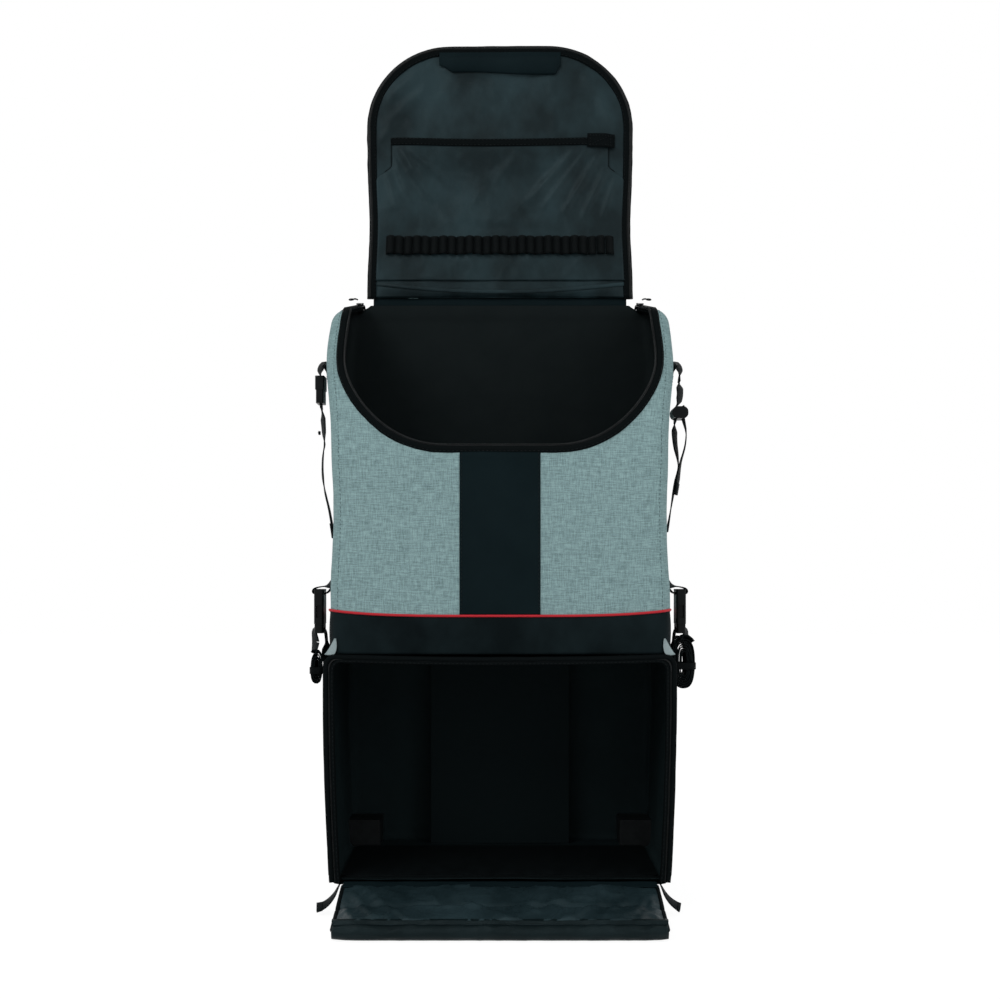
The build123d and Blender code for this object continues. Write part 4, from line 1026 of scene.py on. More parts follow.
def buildLid():
    grid, flat = lidSheet(
        0.011, 0.0015, 0.0002, lambda x, s: -0.0007 - 0.0007 * softNoise(x, s, 14.0, 21)
    )
    shell = slab(grid[:, ::-1], lid["outerThick"], flat[:, ::-1])
    panels = ["lid_rear_panel", "lid_front_panel"]
    outer = piece("lid_outer_cloth", shell, heather, None, panels)
    acrossFold(outer)

    grid, flat = lidSheet(
        0.011, 0.0035, lid["thick"], lambda x, s: creases(x, s, liningCreases)
        + 0.0013 * softNoise(x, s, 13.0, 22) + 0.0011 * crumple(x, s, 9.0, 24)
    )
    inner = piece("lid_satin_lining", slab(grid, lid["outerThick"], flat), satin, None)
    acrossFold(inner)

    x = np.linspace(-tote["stripeHalf"], tote["stripeHalf"], 30)[None]
    s = np.linspace(0.013, lidEnd - 0.012, 110)[:, None]
    strip = onLid(x, s, -0.0011 + 0 * x)[:, ::-1]
    outerStripe = piece(
        "lid_outer_stripe", slab(strip, 0.0006, flatOf(x, s)[:, ::-1]), nylon, None
    )
    acrossFold(outerStripe)

    # binding rolled over both cloths all round, with the zipper's tape and coil at its edge
    half = lid["bindingWidth"]
    edge = lidEdge(lidHalf, lidEnd, lid["cornerRadius"], 0.010)
    inward = lidEdge(lidHalf - half, lidEnd - half, lid["cornerRadius"] - half, 0.010)
    share = np.linspace(0, 1, len(edge))
    even = np.linspace(0, 1, len(inward))
    inward = spread(*(np.interp(share, even, column) for column in inward.T))
    path = onLid(edge[:, 0], edge[:, 1], 0.0)
    side = onLid(inward[:, 0], inward[:, 1], 0.0) - path
    side = side - (side * tangents(path)).sum(axis=1, keepdims=True) * tangents(path)
    side = unit(side)
    up = hold(lidIn, len(path))
    roll = [
        (half, 0.0046), (half, 0.0063), (half * 0.8, 0.0072), (half * 0.4, 0.0076),
        (0.0016, 0.0070), (0.0002, 0.0052), (0.0, 0.0020), (0.0012, -0.0004),
        (half * 0.4, -0.0012), (half * 0.8, -0.0008), (half, 0.0004),
    ]
    rim = roughened(sweep(path, side, up, roll), 45.0, 6, 0.0005)
    bands = ["lid_rear_band", "lid_front_band"]
    acrossFold(piece("lid_edge_binding", rim, binding, None, bands))
    coilLine = path + side * 0.0042 + up * 0.0074
    tape = sweep(
        path + side * 0.0036, side, up,
        [(-0.0021, 0.0068), (-0.0021, 0.0079), (0.0021, 0.0079), (0.0021, 0.0068)]
    )
    teeth = zipCoil(coilLine, up, side, reach=0.0013)
    seam = stitchRow(path + side * (half - 0.0018) + up * 0.0068, up)
    acrossFold(piece("lid_zipper", [tape, teeth], coil, None))
    acrossFold(piece("lid_binding_stitching", seam, thread, None))

    # a padded black sheet across the top: painted shade that stands in for the shade under the
    # lid's forward-curled rim
    half = lid["shadeSheetHalf"]
    x = np.linspace(-half, half, 90)[None]
    share = np.linspace(0, 1, 26)[:, None]
    ends = smoothStep(x, -half, -half + 0.022) * smoothStep(-x, -half, -half + 0.008)
    foot = lid["shadeSheetLow"] + 0.011 * (1 - ends) - 0.002 * np.sin(x * 30)
    s = foot + (lidEnd - 0.010 - foot) * share
    swell = lid["shadeSheetRise"] * hump(share * 1.25, 0, 1, 0.6) * (0.25 + 0.75 * ends)
    grid = onLid(
        x + 0 * s, s, lid["thick"] + 0.0034 + swell + 0.0007 * softNoise(x + 0 * s, s, 22.0, 29)
    )
    cloth = slab(grid, lid["clothThick"], flatOf(x + 0 * s, s))
    made = piece("lid_top_shade_sheet", cloth, nylon, "lid_front")

    # one cloth from under the loops to the pocket's hem, drawn tight from the hem's ends
    hem, low, reach = lid["pocketHem"], lid["clothLow"], lid["pocketStand"]
    s = np.arange(low, hem + 0.0001, 0.0026)[:, None]
    widen = smoothStep(s, foldAt - 0.01, foldAt + 0.012)
    share = np.linspace(-1, 1, 140)[None]
    x = share * (lidHalf - 0.0125 - widen * (lidHalf - 0.0125 - lid["pocketHalf"]))
    s = np.repeat(s, share.shape[1], axis=1)
    gape = smoothStep(s, foldAt - 0.01, hem) * (1 - np.abs(share) ** 6)
    calm = smoothStep(1 - np.abs(share), 0.0, 0.06) * smoothStep(hem - s, 0.004, 0.02)
    relief = (
        creases(x, s, pocketCreases) + 0.0016 * softNoise(x, s, 12.0, 23)
        + 0.0010 * crumple(x, s, 10.0, 27)
    )
    relief = relief * calm
    sag = 0.0035 * gape * (1 - share**2)    # the hem droops a little between its ends
    grid = onLid(x, s - sag, lid["thick"] + 0.0024 + gape * (reach - 0.001) + relief)
    cloth = slab(grid, lid["clothThick"], flatOf(x, s))
    pocket = piece(
        "lid_pocket_cloth", cloth, satin, None, ["lid_panel_cloth", "lid_pocket"]
    )
    acrossFold(pocket)

    # the hem's folded band, and the box-stitched tab that holds its right end
    top = np.argmin(np.abs(s[:, 0] - (hem - lid["hemHeight"] / 2)))
    line = grid[top] + lidIn * 0.0004
    wide = hold(lidUp, len(line))
    out = hold(lidIn, len(line))
    band = sweep(line, wide, out, roundedStrip(lid["hemHeight"], 0.0016, 0.4, 0.0004))
    gusset = []
    for sign in (-1, 1):    # the cloth that closes the pocket's ends
        rows = np.where(s[:, 0] > foldAt)[0]
        ends = grid[rows, 0 if sign < 0 else -1]
        feet = ends + lidIn * ((lid["thick"] + 0.0004) - ((ends - lidRoot) @ lidIn))[:, None]
        wall = np.stack([ends * (1 - k) + feet * k for k in (0, 0.34, 0.67, 1)], axis=1)
        gusset.append(slab(wall if sign < 0 else wall[:, ::-1], 0.001, wall))
    tabX = np.linspace(0.126, 0.166, 12)[None]
    tabS = np.linspace(hem - 0.0155, hem + 0.004, 9)[:, None]
    rise = lid["thick"] + reach + 0.0018 - smoothStep(tabX, 0.150, 0.166) * (reach - 0.002)
    tab = slab(onLid(tabX, tabS, rise + 0 * tabS), 0.0012, flatOf(tabX, tabS))
    piece("lid_pocket_hem", [band, tab, *gusset], binding, "lid_front")
    rows = [stitchRow(line + lidUp * k + lidIn * 0.0019, out) for k in (-0.0038, 0.0036)]
    low, high = (0.130, -0.0125), (0.160, 0.001)
    box = np.array([low, (high[0], low[1]), high, (low[0], high[1]), low, high])
    for a, b in zip(box, box[1:]):
        run = np.linspace(a, b, 12)
        rise = lid["thick"] + reach + 0.0019 - smoothStep(run[:, 0], 0.150, 0.166) * (reach - 0.002)
        rows.append(
            stitchRow(onLid(run[:, 0], hem + run[:, 1], rise), hold(lidIn, 12), 0.0042, 0.003)
        )
    piece("lid_pocket_stitching", rows, thread, "lid_front")

    # elastic loops, stitched down between one loop and the next
    count, pitch = lid["loopCount"], lid["loopPitch"]
    u = np.linspace(0, count, count * 10 + 1)[None]
    v = np.linspace(0, 1, 9)[:, None]
    arch = np.abs(np.sin(math.pi * u)) ** 0.62 * lid["loopReach"]
    flare = 1 + 0.05 * np.cos(2 * math.pi * v)
    x = (u - count / 2) * pitch + 0 * v
    s = lid["loopLow"] + (lid["loopHigh"] - lid["loopLow"]) * v + 0.0007 * np.sin(u * 2.1)
    loops = onLid(x, s, lid["thick"] + 0.0026 + arch * flare)
    loops = slab(loops, 0.0010, flatOf(u * pitch * 1.5, s))
    made = piece("lid_pen_loops", loops, elastic, "lid_rear", ["pen_loops"])
    bars = []
    for k in range(count + 1):
        run = np.linspace(lid["loopLow"] + 0.002, lid["loopHigh"] - 0.002, 8)
        line = onLid((k - count / 2) * pitch, run, lid["thick"] + 0.0028)
        bars.append(stitchRow(line, hold(lidIn, 8), 0.0036, 0.0028))
    piece("loop_stitching", bars, thread, "lid_rear")

    # the foot strip below the loops, its top edge sagging
    share = np.linspace(-1, 1, 90)[None]
    v = np.linspace(0, 1, 12)[:, None]
    x = share * (lidHalf - 0.0128) + 0 * v
    high = lid["restHigh"] - lid["restSag"] * (1 - share**2)
    s = lid["restLow"] + (high - lid["restLow"]) * v
    rise = lid["thick"] + 0.0010 + 0.0048 * np.sin(math.pi / 2 * v) * (1 - np.abs(share) ** 8)
    grid = onLid(x, s, rise + 0.0007 * softNoise(x, s, 40.0, 25) * v)
    rim = onLid(x[-1], s[-1], rise[-1])
    lip = sweep(rim, hold(lidUp, 90), hold(lidIn, 90), roundedStrip(0.0055, 0.0012))
    strip = slab(grid, lid["clothThick"], flatOf(x, s))
    made = piece("lid_pen_rest", [strip, lip], satin, "lid_rear", ["pen_rest"])

    # cloth hinge
    half = lid["hingeHalf"]
    x = np.linspace(-half, half, 80)[None]
    s = np.linspace(-0.0002, 0.0125, 8)[:, None]
    grid = (
        lidRoot + s[..., None] * lidUp
        + (0.0013 + 0.0005 * np.sin(x * 60))[..., None] * lidIn + 0 * x[..., None]
    )
    grid[..., 0] = x
    bead = spread(np.linspace(-half, half, 60), lidRoot[1], lidRoot[2])
    cylinder = sweep(bead, hold(lidUp, 60), hold(lidIn, 60), circleProfile(0.0015))
    strip = slab(grid, lid["outerThick"], flatOf(x, s))
    made = piece(
        "lid_hinge_cloth", [strip, cylinder], nylon, "lid_rear", ["lid_hinge_strip"]
    )
    buildCarryHandle()


def buildCarryHandle():
    # a webbing arch with a padded sleeve at its middle and box-stitched ends
    span, rise = lid["handleSpan"], lid["handleRise"]
    turn = np.linspace(-1, 1, 44)
    inner = np.stack([turn * span, -(rise - 0.005) * (1 - np.abs(turn) ** 2.3)], axis=1)
    ends = [(-span - 0.013, -0.0022), (-span - 0.006, -0.0022)]
    line = np.concatenate([ends, inner - (0, 0.0022), [(-x, z) for x, z in ends[::-1]]])
    line = resample(line, 0.004)
    path = lidRoot + lidUp * lid["handleAt"] + line[:, 1:] * lidIn
    path[:, 0] += line[:, 0]
    wide = hold(lidUp, len(path))
    up = np.cross(wide, tangents(path))
    up = up * np.where((up @ lidIn)[:, None] > 0, -1, 1)
    strapPart = sweep(path, wide, up, roundedStrip(0.0255, 0.0022))
    held = slice(2, -2)
    stitches = [
        stitchRow(path[held] + wide[held] * k + up[held] * 0.0022, up[held])
        for k in (-0.0105, 0.0105)
    ]
    piece("carry_handle_web", strapPart, webbing, "lid_rear", ["carry_handle"])
    piece("carry_handle_stitching", stitches, thread, "lid_rear")
    held = np.abs(path[:, 0]) < 0.047
    core, wide, up = path[held], wide[held], up[held]
    oval = circleProfile(0.0138, 16, 0.34) + (0, 0.0011)
    swell = 1 - 0.16 * np.abs(np.linspace(-1, 1, len(core))) ** 6
    pad = sweep(core, wide * swell[:, None], up * swell[:, None], oval)
    made = piece("carry_handle_pad", pad, nylon, "lid_rear")


buildLid()
print("lid built")

# ---- cart: a padded box of black nylon with a bound front
cart = {
    "wall": 0.006,
    "cornerRound": 0.012,
    "mesh": 0.006,
    "pillow": 0.0028,        # how far the padded walls stand proud
    "flare": 0.0030,         # how far the sides bow outwards, front edge included
    "topSag": 0.004,         # droop of the front's top edge
    "outerRoll": 0.0062,
    "innerRoll": 0.0050,
    "housingDraw": 0.0035,   # the cloth draws in round the wheel housings
    "paleCornerWide": 0.0125,
    "paleCornerHigh": 0.0205,
}
frameLow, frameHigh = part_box("cart_front_frame")
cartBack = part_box("cart_back")[1].y
floorZ, cartTop = frameLow.z, frameHigh.z
halfTop = frameHigh.x
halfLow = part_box("cart_floor")[1].x + cart["wall"]
cartOutline = np.array(
    [(-halfLow, floorZ), (halfLow, floorZ), (halfTop, cartTop), (-halfTop, cartTop)]
)
housingLow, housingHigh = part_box("wheel_housing_right")
cartMiddle = np.array((0.0, (cartFace + cartBack) / 2, (floorZ + cartTop) / 2))


def cartForm(sharp, lift=0.0, rough=0.0, seed=1):
    # brings points of the cart's sharp outline onto its rounded and padded skin
    flat = sharp.reshape(-1, 3)
    radius = cart["cornerRound"]
    core = flat.copy()
    core[:, (0, 2)] = nearestIn(flat[:, (0, 2)], insetOutline(cartOutline, radius))
    core[:, 1] = np.clip(flat[:, 1], cartFace, cartBack - radius)
    away = flat - core
    outward = away / np.maximum(np.linalg.norm(away, axis=1, keepdims=True), 1e-9)
    x, y, z = flat.T
    acrossX = 1 - (x / halfTop) ** 2 * (np.abs(outward[:, 0]) < 0.9)
    acrossY = hump(y, cartFace, cartBack, 0.5)
    acrossZ = hump(z, floorZ, cartTop, 0.5)
    side, back = np.abs(outward[:, 0]) > 0.9, outward[:, 1] > 0.9
    puff = np.where(side, acrossY * acrossZ, np.where(back, acrossX * acrossZ, 0)) * cart["pillow"]
    near = (
        smoothStep(np.abs(x), housingLow.x - 0.012, housingLow.x)
        * smoothStep(y, housingLow.y - 0.012, housingLow.y)
    )
    near = near * (1 - smoothStep(z, housingHigh.z, housingHigh.z + 0.012))
    puff = puff + side * cart["flare"] * hump(z, floorZ, cartTop, 0.6)
    depth = radius + lift + puff - near * cart["housingDraw"] * (lift == 0)
    if rough:
        depth = depth + rough * fractal(flat, 10.0, seed)
    return (core + outward * depth[:, None]).reshape(sharp.shape)


def sectionRing(y, step):
    ring = resample(np.concatenate([cartOutline, cartOutline[:1]]), step)[:-1]
    return spread(ring[None, :, 0], y[:, None], ring[None, :, 1])


def cartShell(lift, rough, seed, front, inward):
    step = cart["mesh"]
    y = np.linspace(front, cartBack, int((cartBack - front) / step))
    sharp = sectionRing(y, step)
    ring = cartForm(sharp, lift, rough, seed)
    run = np.arange(ring.shape[1]) * step
    walls = openSheet(ring, cartMiddle, flatOf(run[None], y[:, None]), ring=True)
    x = np.linspace(-1, 1, int(2 * halfTop / step))[None]
    z = np.linspace(floorZ, cartTop, int((cartTop - floorZ) / step))[:, None]
    half = np.interp(z, [floorZ, cartTop], [halfLow, halfTop])
    panel = spread(x * half, cartBack, z)
    back = cartForm(panel, lift, rough, seed)
    parts = [walls, openSheet(back, cartMiddle, flatOf(x * half, z))]
    if inward:
        parts = [(p, flipped(fs), c) for p, fs, c in parts]
    return joined(parts)


def frameLine(inset):
    # (x, z) up the left side of the opening, across its top and down the right side
    turn = np.linspace(0, math.pi / 2, 10)
    top, corner = cartTop - inset * 0.62, cart["cornerRound"]
    high, low = halfTop - inset, halfLow - inset
    arc = np.stack([-high + corner * (1 - np.cos(turn)), top - corner * (1 - np.sin(turn))], axis=1)
    left = np.concatenate([[(-low, floorZ + 0.003)], arc])
    line = resample(np.concatenate([left, left[::-1] * (-1, 1)]), 0.004)
    bow = hump(line[:, 1], floorZ, cartTop, 0.6)
    line[:, 0] += (
        cart["flare"] * bow * np.clip(line[:, 0] / high, -1, 1)
        * (np.abs(line[:, 0]) > high - 0.03)
    )
    line[:, 1] -= (
        cart["topSag"] * smoothStep(line[:, 1], top - 0.02, top)
        * (1 - (line[:, 0] / high) ** 2)
    )
    return line


def buildCart():
    walls = ["cart_side_left", "cart_side_right", "cart_top", "cart_back", "cart_floor"]
    shell = cartShell(0.0, 0.0009, 31, cartFace + 0.004, False)
    made = piece("cart_outer_cloth", shell, nylon, "cart", walls)
    made = piece(
        "cart_lining", cartShell(-cart["wall"], 0.0015, 33, cartFace + 0.006, True), innerNylon,
        "cart"
    )

    # the opening's edge: an outer roll, the zipper's tape and coil, and an inner roll
    def openingPath(inset, back):
        line = frameLine(inset)
        path = spread(line[:, 0], cartFace + back, line[:, 1])
        up = hold((0.0, -1.0, 0.0), len(path))
        return path, np.cross(tangents(path), up), up

    parts, stitches = [], []
    rolls = ((0.0034, cart["outerRoll"], 0.0038), (0.0118, cart["innerRoll"], 0.0026))
    for inset, width, high in rolls:
        path, side, up = openingPath(inset, 0.0035)
        half = width / 2
        roll = [
            (-half, 0), (-half, high * 0.6), (-half * 0.5, high), (half * 0.5, high),
            (half, high * 0.6), (half, 0), (half, -0.0045), (-half, -0.0045),
        ]
        parts.append(sweep(path, side, up, roll))
        if inset > 0.01:
            stitches.append(stitchRow(path + up * high + side * 0.0004, up))
    rim = roughened(joined(parts), 40.0, 35, (0.0004, 0.0002, 0.0004))
    piece("cart_front_binding", rim, binding, "cart", ["cart_front_frame"])
    path, side, up = openingPath(0.0078, 0.0030)
    tape = sweep(
        path, side, up, [(-0.003, -0.003), (-0.003, 0.0004), (0.003, 0.0004), (0.003, -0.003)]
    )
    teeth = zipCoil(path + up * 0.0006, up, side, reach=0.0015)
    piece("cart_zipper", [tape, teeth], coil, "cart")
    piece("cart_front_stitching", stitches, thread, "cart")

    # the opening's sill, behind the door's hinge line
    x = np.linspace(-halfLow + 0.007, halfLow - 0.007, 90)
    path = spread(x, cartFace + 0.0145, floorZ + 0.0052)
    sill = sweep(path, hold((0.0, 1.0, 0.0), 90), hold(upward, 90), roundedStrip(0.009, 0.0024))
    piece("cart_sill_binding", sill, binding, "cart")

    # pale grey cloth triangles at the top corners
    wide, high = cart["paleCornerWide"], cart["paleCornerHigh"]
    for side, sign in (("left", -1), ("right", 1)):
        u = np.linspace(0, 1, 12)[None]
        v = np.linspace(0, 1, 12)[:, None]
        taper = 1 - 0.86 * v**1.4
        x = sign * (halfTop - 0.0010 - wide * v**0.8 - wide * (1 - u) * taper)
        y = cartFace + 0.0022 + 0.0016 * u + 0.003 * v * u
        z = cartTop + 0.0005 + high * v - 0.0012 * np.sin(math.pi * u) + 0 * u
        grid = spread(x, y, z)
        if sign > 0:
            grid = grid[:, ::-1]
        cloth = slab(grid, -0.0009, flatOf(u * 0.013, v * 0.02))
        made = piece("corner_gusset_" + side, cloth, paleCornerCloth, "cart")


buildCart()
print("cart built")

# ---- drop door: two padded leaves, the upper one folded under
door = {
    "mesh": 0.0032,
    "puff": 0.0035,
    "middleCrease": 0.0030,
    "crumple": 0.0042,       # height of the satin's sharp creases
    "rollHigh": 0.0185,      # height of the folded edge
    "corner": 0.012,
    "hingeSection": [        # (y, z) from the cart's lower front edge
        (0.0090, 0.0004), (0.0050, 0.0022), (0.0010, 0.0026), (-0.0040, 0.0016), (-0.0085, 0.0002),
        (-0.0130, -0.0010),
    ],
}
leafLow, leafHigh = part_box("door_lower_leaf")
underLow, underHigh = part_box("door_upper_leaf")
doorHalf = leafHigh.x
doorRoot = np.array((0.0, leafHigh.y, floorZ))
doorCreases = [    # x, distance from the hinge, in metres; half width and height
    ((-0.190, 0.020), (-0.150, 0.125), 0.005, 0.0032),
    ((-0.172, 0.016), (-0.118, 0.120), 0.005, 0.0030),
    ((-0.196, 0.060), (-0.176, 0.135), 0.004, 0.0026),
    ((-0.100, 0.030), (-0.052, 0.098), 0.005, 0.0026),
    ((-0.066, 0.022), (-0.020, 0.104), 0.005, 0.0028),
    ((-0.044, 0.060), (0.010, 0.132), 0.005, 0.0030),
    ((0.060, 0.030), (0.008, 0.110), 0.006, 0.0030),
    ((0.090, 0.036), (0.030, 0.124), 0.005, 0.0026),
    ((0.132, 0.050), (0.074, 0.140), 0.006, 0.0036),
    ((0.164, 0.040), (0.120, 0.120), 0.005, 0.0024),
    ((0.188, 0.028), (0.160, 0.110), 0.005, 0.0028),
    ((-0.150, 0.084), (0.060, 0.078), 0.007, 0.0020),
    ((0.020, 0.060), (0.180, 0.070), 0.006, 0.0018),
]


def doorTop(x, s):
    # (y, z) of the lower leaf's upper face, s from its hinge
    slope = (leafHigh.z - leafLow.z - 0.0049) / (leafHigh.y - leafLow.y)
    length = leafHigh.y - leafLow.y
    share = np.clip(s / length, 0, 1)
    puff = door["puff"] * np.abs(np.sin(2 * math.pi * share)) ** 0.6
    edge = 1 - np.abs(x / doorHalf) ** 10
    lift = smoothStep(share, 0.35, 0.95) * (door["rollHigh"] - 0.0105)
    z = (
        doorRoot[2] - slope * s + (puff + lift) * edge
        - door["middleCrease"] * bump(share, 0.5, 0.035)
    )
    return doorRoot[1] - s, z


def doorSection():
    # the folded edge seen from the side: over the top, round the front and back under
    front, high = underLow.y - 0.0002, door["rollHigh"]
    turn = np.linspace(math.pi / 2, 3 * math.pi / 2, 22)
    y = front + 0.0105 + 0.0105 * np.cos(turn)
    z = high / 2 + 0.0001 + (high / 2) * np.sin(turn)
    return y, z


def buildDoor():
    length = leafHigh.y - leafLow.y
    reach = length - 0.0120
    x = np.linspace(-doorHalf, doorHalf, int(2 * doorHalf / door["mesh"]))[None]
    s = np.linspace(0.0012, reach, int(reach / door["mesh"]))[:, None]
    y, z = doorTop(x, s)
    calm = smoothStep(doorHalf - np.abs(x), 0.0, 0.014) * smoothStep(s, 0.0, 0.012)
    flatX, flatS = x + 0 * s, s + 0 * x
    relief = creases(flatX, flatS, doorCreases) + 0.0012 * softNoise(flatX, flatS, 26.0, 41)
    relief = relief + door["crumple"] * crumple(flatX, flatS * 0.75, 15.0, 45, 0.03)
    top = spread(x, y, z + relief * calm)
    depth = 0.0052 + 0.004 * smoothStep(s / length, 0.3, 0.9)
    bottom = top.copy()
    bottom[..., 2] = np.minimum(z - depth + 0 * x, top[..., 2] - 0.002)
    bottom[..., 2] = np.maximum(
        bottom[..., 2], doorRoot[2] - 0.0052 - (doorRoot[2] - 0.0108) * (s / length) + 0 * x
    )
    rows, columns = top.shape[:2]
    leaf = slab(top[:, ::-1], 0.001, flatOf(x, s)[:, ::-1])
    leaf[0][rows * columns:] = bottom[:, ::-1].reshape(-1, 3)
    # the pad's satin is painted lighter, as painted light on its upturned face
    made = piece("door_lower_pad", leaf, doorSatinLit, "door_lower", ["door_lower_leaf"])

    # upper leaf, lying on the ground under the lower one, with rounded free corners
    y = np.linspace(underLow.y + 0.012, underHigh.y, 46)[:, None]
    over = np.clip(y - (underHigh.y - door["corner"]), 0, door["corner"])
    half = doorHalf - door["corner"] + np.sqrt(door["corner"] ** 2 - over**2)
    share = np.linspace(-1, 1, 100)[None]
    x = share * half
    quilt = 0.0008 * np.sin((y - underLow.y) * 95) * (1 - share**8)
    grid = spread(x, y, underHigh.z - 0.0006 + quilt)
    made = piece(
        "door_upper_pad", slab(grid, 0.0034, flatOf(x, y)), nylon, "door_upper",
        ["door_upper_leaf"]
    )

    # the satin that runs over the folded edge from one leaf to the other
    y, z = doorSection()
    topY, topZ = doorTop(0.0, np.linspace(reach - 0.004, length - 0.0108, 6))
    y = np.concatenate([topY, y, np.linspace(y[-1] + 0.004, underLow.y + 0.034, 8)])[:, None]
    z = np.concatenate([topZ + 0.0004, z, np.full(8, 0.0004)])[:, None]
    x = np.linspace(-doorHalf, doorHalf, int(2 * doorHalf / door["mesh"]))[None]
    rows = len(y)
    run = np.linspace(0, 1, rows)[:, None]
    ends = np.abs(x / doorHalf) ** 14
    middle = np.array((underLow.y + 0.014, 0.0085))
    shrink = 1 - 0.30 * ends * smoothStep(run, 0.05, 0.35) * (1 - smoothStep(run, 0.7, 0.95))
    y = middle[0] + (y - middle[0]) * shrink
    z = middle[1] + (z - middle[1]) * (1 - (1 - shrink) * 0.6)
    slant = (x + 0.04 * run) * 70
    ripple = (
        0.0010 * np.sin(slant) * np.exp(-((np.sin(x * 9 + 1.2)) ** 2) * 3)
        * np.sin(math.pi * run)
    )
    flatX, flatS = x + 0 * run, run * 0.06 + 0 * x
    wave = (
        0.0012 * softNoise(flatX, flatS, 24.0, 43)
        + 0.6 * door["crumple"] * crumple(flatX, flatS, 14.0, 47, 0.03)
    )
    wave = wave * np.sin(math.pi * run) ** 0.7 + ripple
    grid = spread(x, y - np.maximum(wave, -0.001) * 0.6, np.maximum(z + wave * (z > 0.004), 0.0003))
    fold = aboveFloor(slab(grid[:, ::-1], 0.0014, flatOf(x, run * 0.08)[:, ::-1]), 0.0002)
    # the fold's satin is painted darker, as painted shade on its front face
    made = piece("door_fold_satin", fold, foldSatinShaded, None)
    girth = float(np.linalg.norm(np.diff(grid[:, grid.shape[1] // 2], axis=0), axis=1).sum())
    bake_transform(made)

    # cloth hinge along the cart's lower front edge
    x = np.linspace(-doorHalf + 0.001, doorHalf - 0.001, 130)[None]
    section = smoothLine(door["hingeSection"], 0.0012, 2)
    y, z = (cartFace + section[:, :1], floorZ + section[:, 1:])
    z = z + 0.0004 * softNoise(x + 0 * z, z + 0 * x, 40.0, 48)
    grid = spread(x, y, z)
    made = piece("door_hinge_cloth", slab(grid, 0.0012, flatOf(x, y)), nylon, None)
    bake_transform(made)

    # bindings down the leaf's two side edges
    parts = []
    for sign in (-1, 1):
        s = np.linspace(0.002, reach, 60)
        y, z = doorTop(sign * doorHalf * 0.985, s)
        path = spread(sign * (doorHalf - 0.0012), y, z - 0.0022)
        out = hold((float(sign), 0.0, 0.0), 60)
        parts.append(
            sweep(path, out, np.cross(tangents(path), out), circleProfile(0.0034, 10, 1.0))
        )
    piece("door_side_binding", parts, binding, "door_lower")


buildDoor()
print("door built")

# ---- straps, loops and pulls of woven webbing
strap = {
    "width": 0.025,
    "thick": 0.0016,
    "leftHank": (0.2435, 0.3145, 0.0066, 0.0215, 3.2),    # middle out, up, half sizes, turns
    "rightHank": (0.2435, 0.3205, 0.0140, 0.0330, 6.4),
    "tabTilt": 24.0,
    "pullLength": 0.016,
}


def middleY(node):
    low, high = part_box(node)
    return (low.y + high.y) / 2


strapY = middleY("tote_webbing")
tabY = middleY("door_end_tabs")
toteSide, cartSide = 0.2200, 0.2306    # where the webbing lies on the cloth, out from the middle

# the straps' courses, as (out, up) in metres, and their twists, as (share of the length, degrees)
strapLines = {
    "toteLow": [
        (toteSide, 0.4435), (toteSide + 0.0006, 0.431), (0.2235, 0.4245), (0.232, 0.4222),
        (0.240, 0.4212), (0.2465, 0.4196), (0.2490, 0.4160), (0.2478, 0.4126), (0.2435, 0.4119),
        (0.2350, 0.4121), (0.2300, 0.4130), (0.2262, 0.4170), (0.2232, 0.4215),
    ],
    "cartLow": [
        (cartSide, 0.262), (cartSide, 0.300), (cartSide - 0.0004, 0.336), (0.2312, 0.352),
        (0.2322, 0.3610), (0.2345, 0.3659), (0.2440, 0.3661), (0.2474, 0.3640), (0.2472, 0.3585),
        (0.2462, 0.3530), (0.2455, 0.3480),
    ],
    "standingFold": [
        (0.2310, 0.352), (0.2355, 0.3555), (0.2425, 0.3535), (0.2480, 0.343), (0.2535, 0.331),
        (0.2560, 0.318),
    ],
    "anchor": [
        (toteSide + 0.007, 0.6890), (toteSide + 0.0092, 0.7060), (0.2308, 0.7150),
        (0.2335, 0.7184), (0.2365, 0.7178), (0.2395, 0.7120), (0.2388, 0.7030), (0.2385, 0.6945),
    ],
    "leftEnd": [
        (0.2385, 0.6705), (0.2382, 0.6610), (0.2362, 0.6500), (0.2350, 0.6360), (0.2343, 0.6230),
        (0.2333, 0.6100), (0.2356, 0.6000), (0.2366, 0.5810), (0.2358, 0.5640), (0.2324, 0.5440),
        (0.2280, 0.5270), (0.2246, 0.5090), (0.2226, 0.4950), (0.2214, 0.4860),
    ],
    "leftHem": [(0.2243, 0.5055), (0.2226, 0.4950), (0.2214, 0.4860)],
    "leftKnot": [(0.2400, 0.6285), (0.2412, 0.6262), (0.2400, 0.6240)],
    "rightInner": [
        (0.2388, 0.6945), (0.2396, 0.6850), (0.2398, 0.6740), (0.2362, 0.6645), (0.2337, 0.6590),
        (0.2335, 0.6450), (0.2328, 0.6380), (0.2322, 0.6240), (0.2336, 0.6080), (0.2368, 0.5920),
        (0.2378, 0.5790), (0.2350, 0.5640), (0.2316, 0.5500), (0.2284, 0.5300), (0.2248, 0.5080),
        (0.2222, 0.4940),
    ],
    "rightOuter": [
        (0.2435, 0.6620), (0.2435, 0.6470), (0.2455, 0.6390), (0.2484, 0.6270), (0.2472, 0.6110),
        (0.2438, 0.5980), (0.2404, 0.5870), (0.2378, 0.5700), (0.2366, 0.5600), (0.2352, 0.5500),
    ],
    "rightHem": [(0.2365, 0.5590), (0.2352, 0.5500), (0.2343, 0.5440)],
    "pullTab": [
        (0.2062, 0.0394), (0.2094, 0.0330), (0.2132, 0.0250), (0.2205, 0.0158), (0.2290, 0.0098),
    ],
}
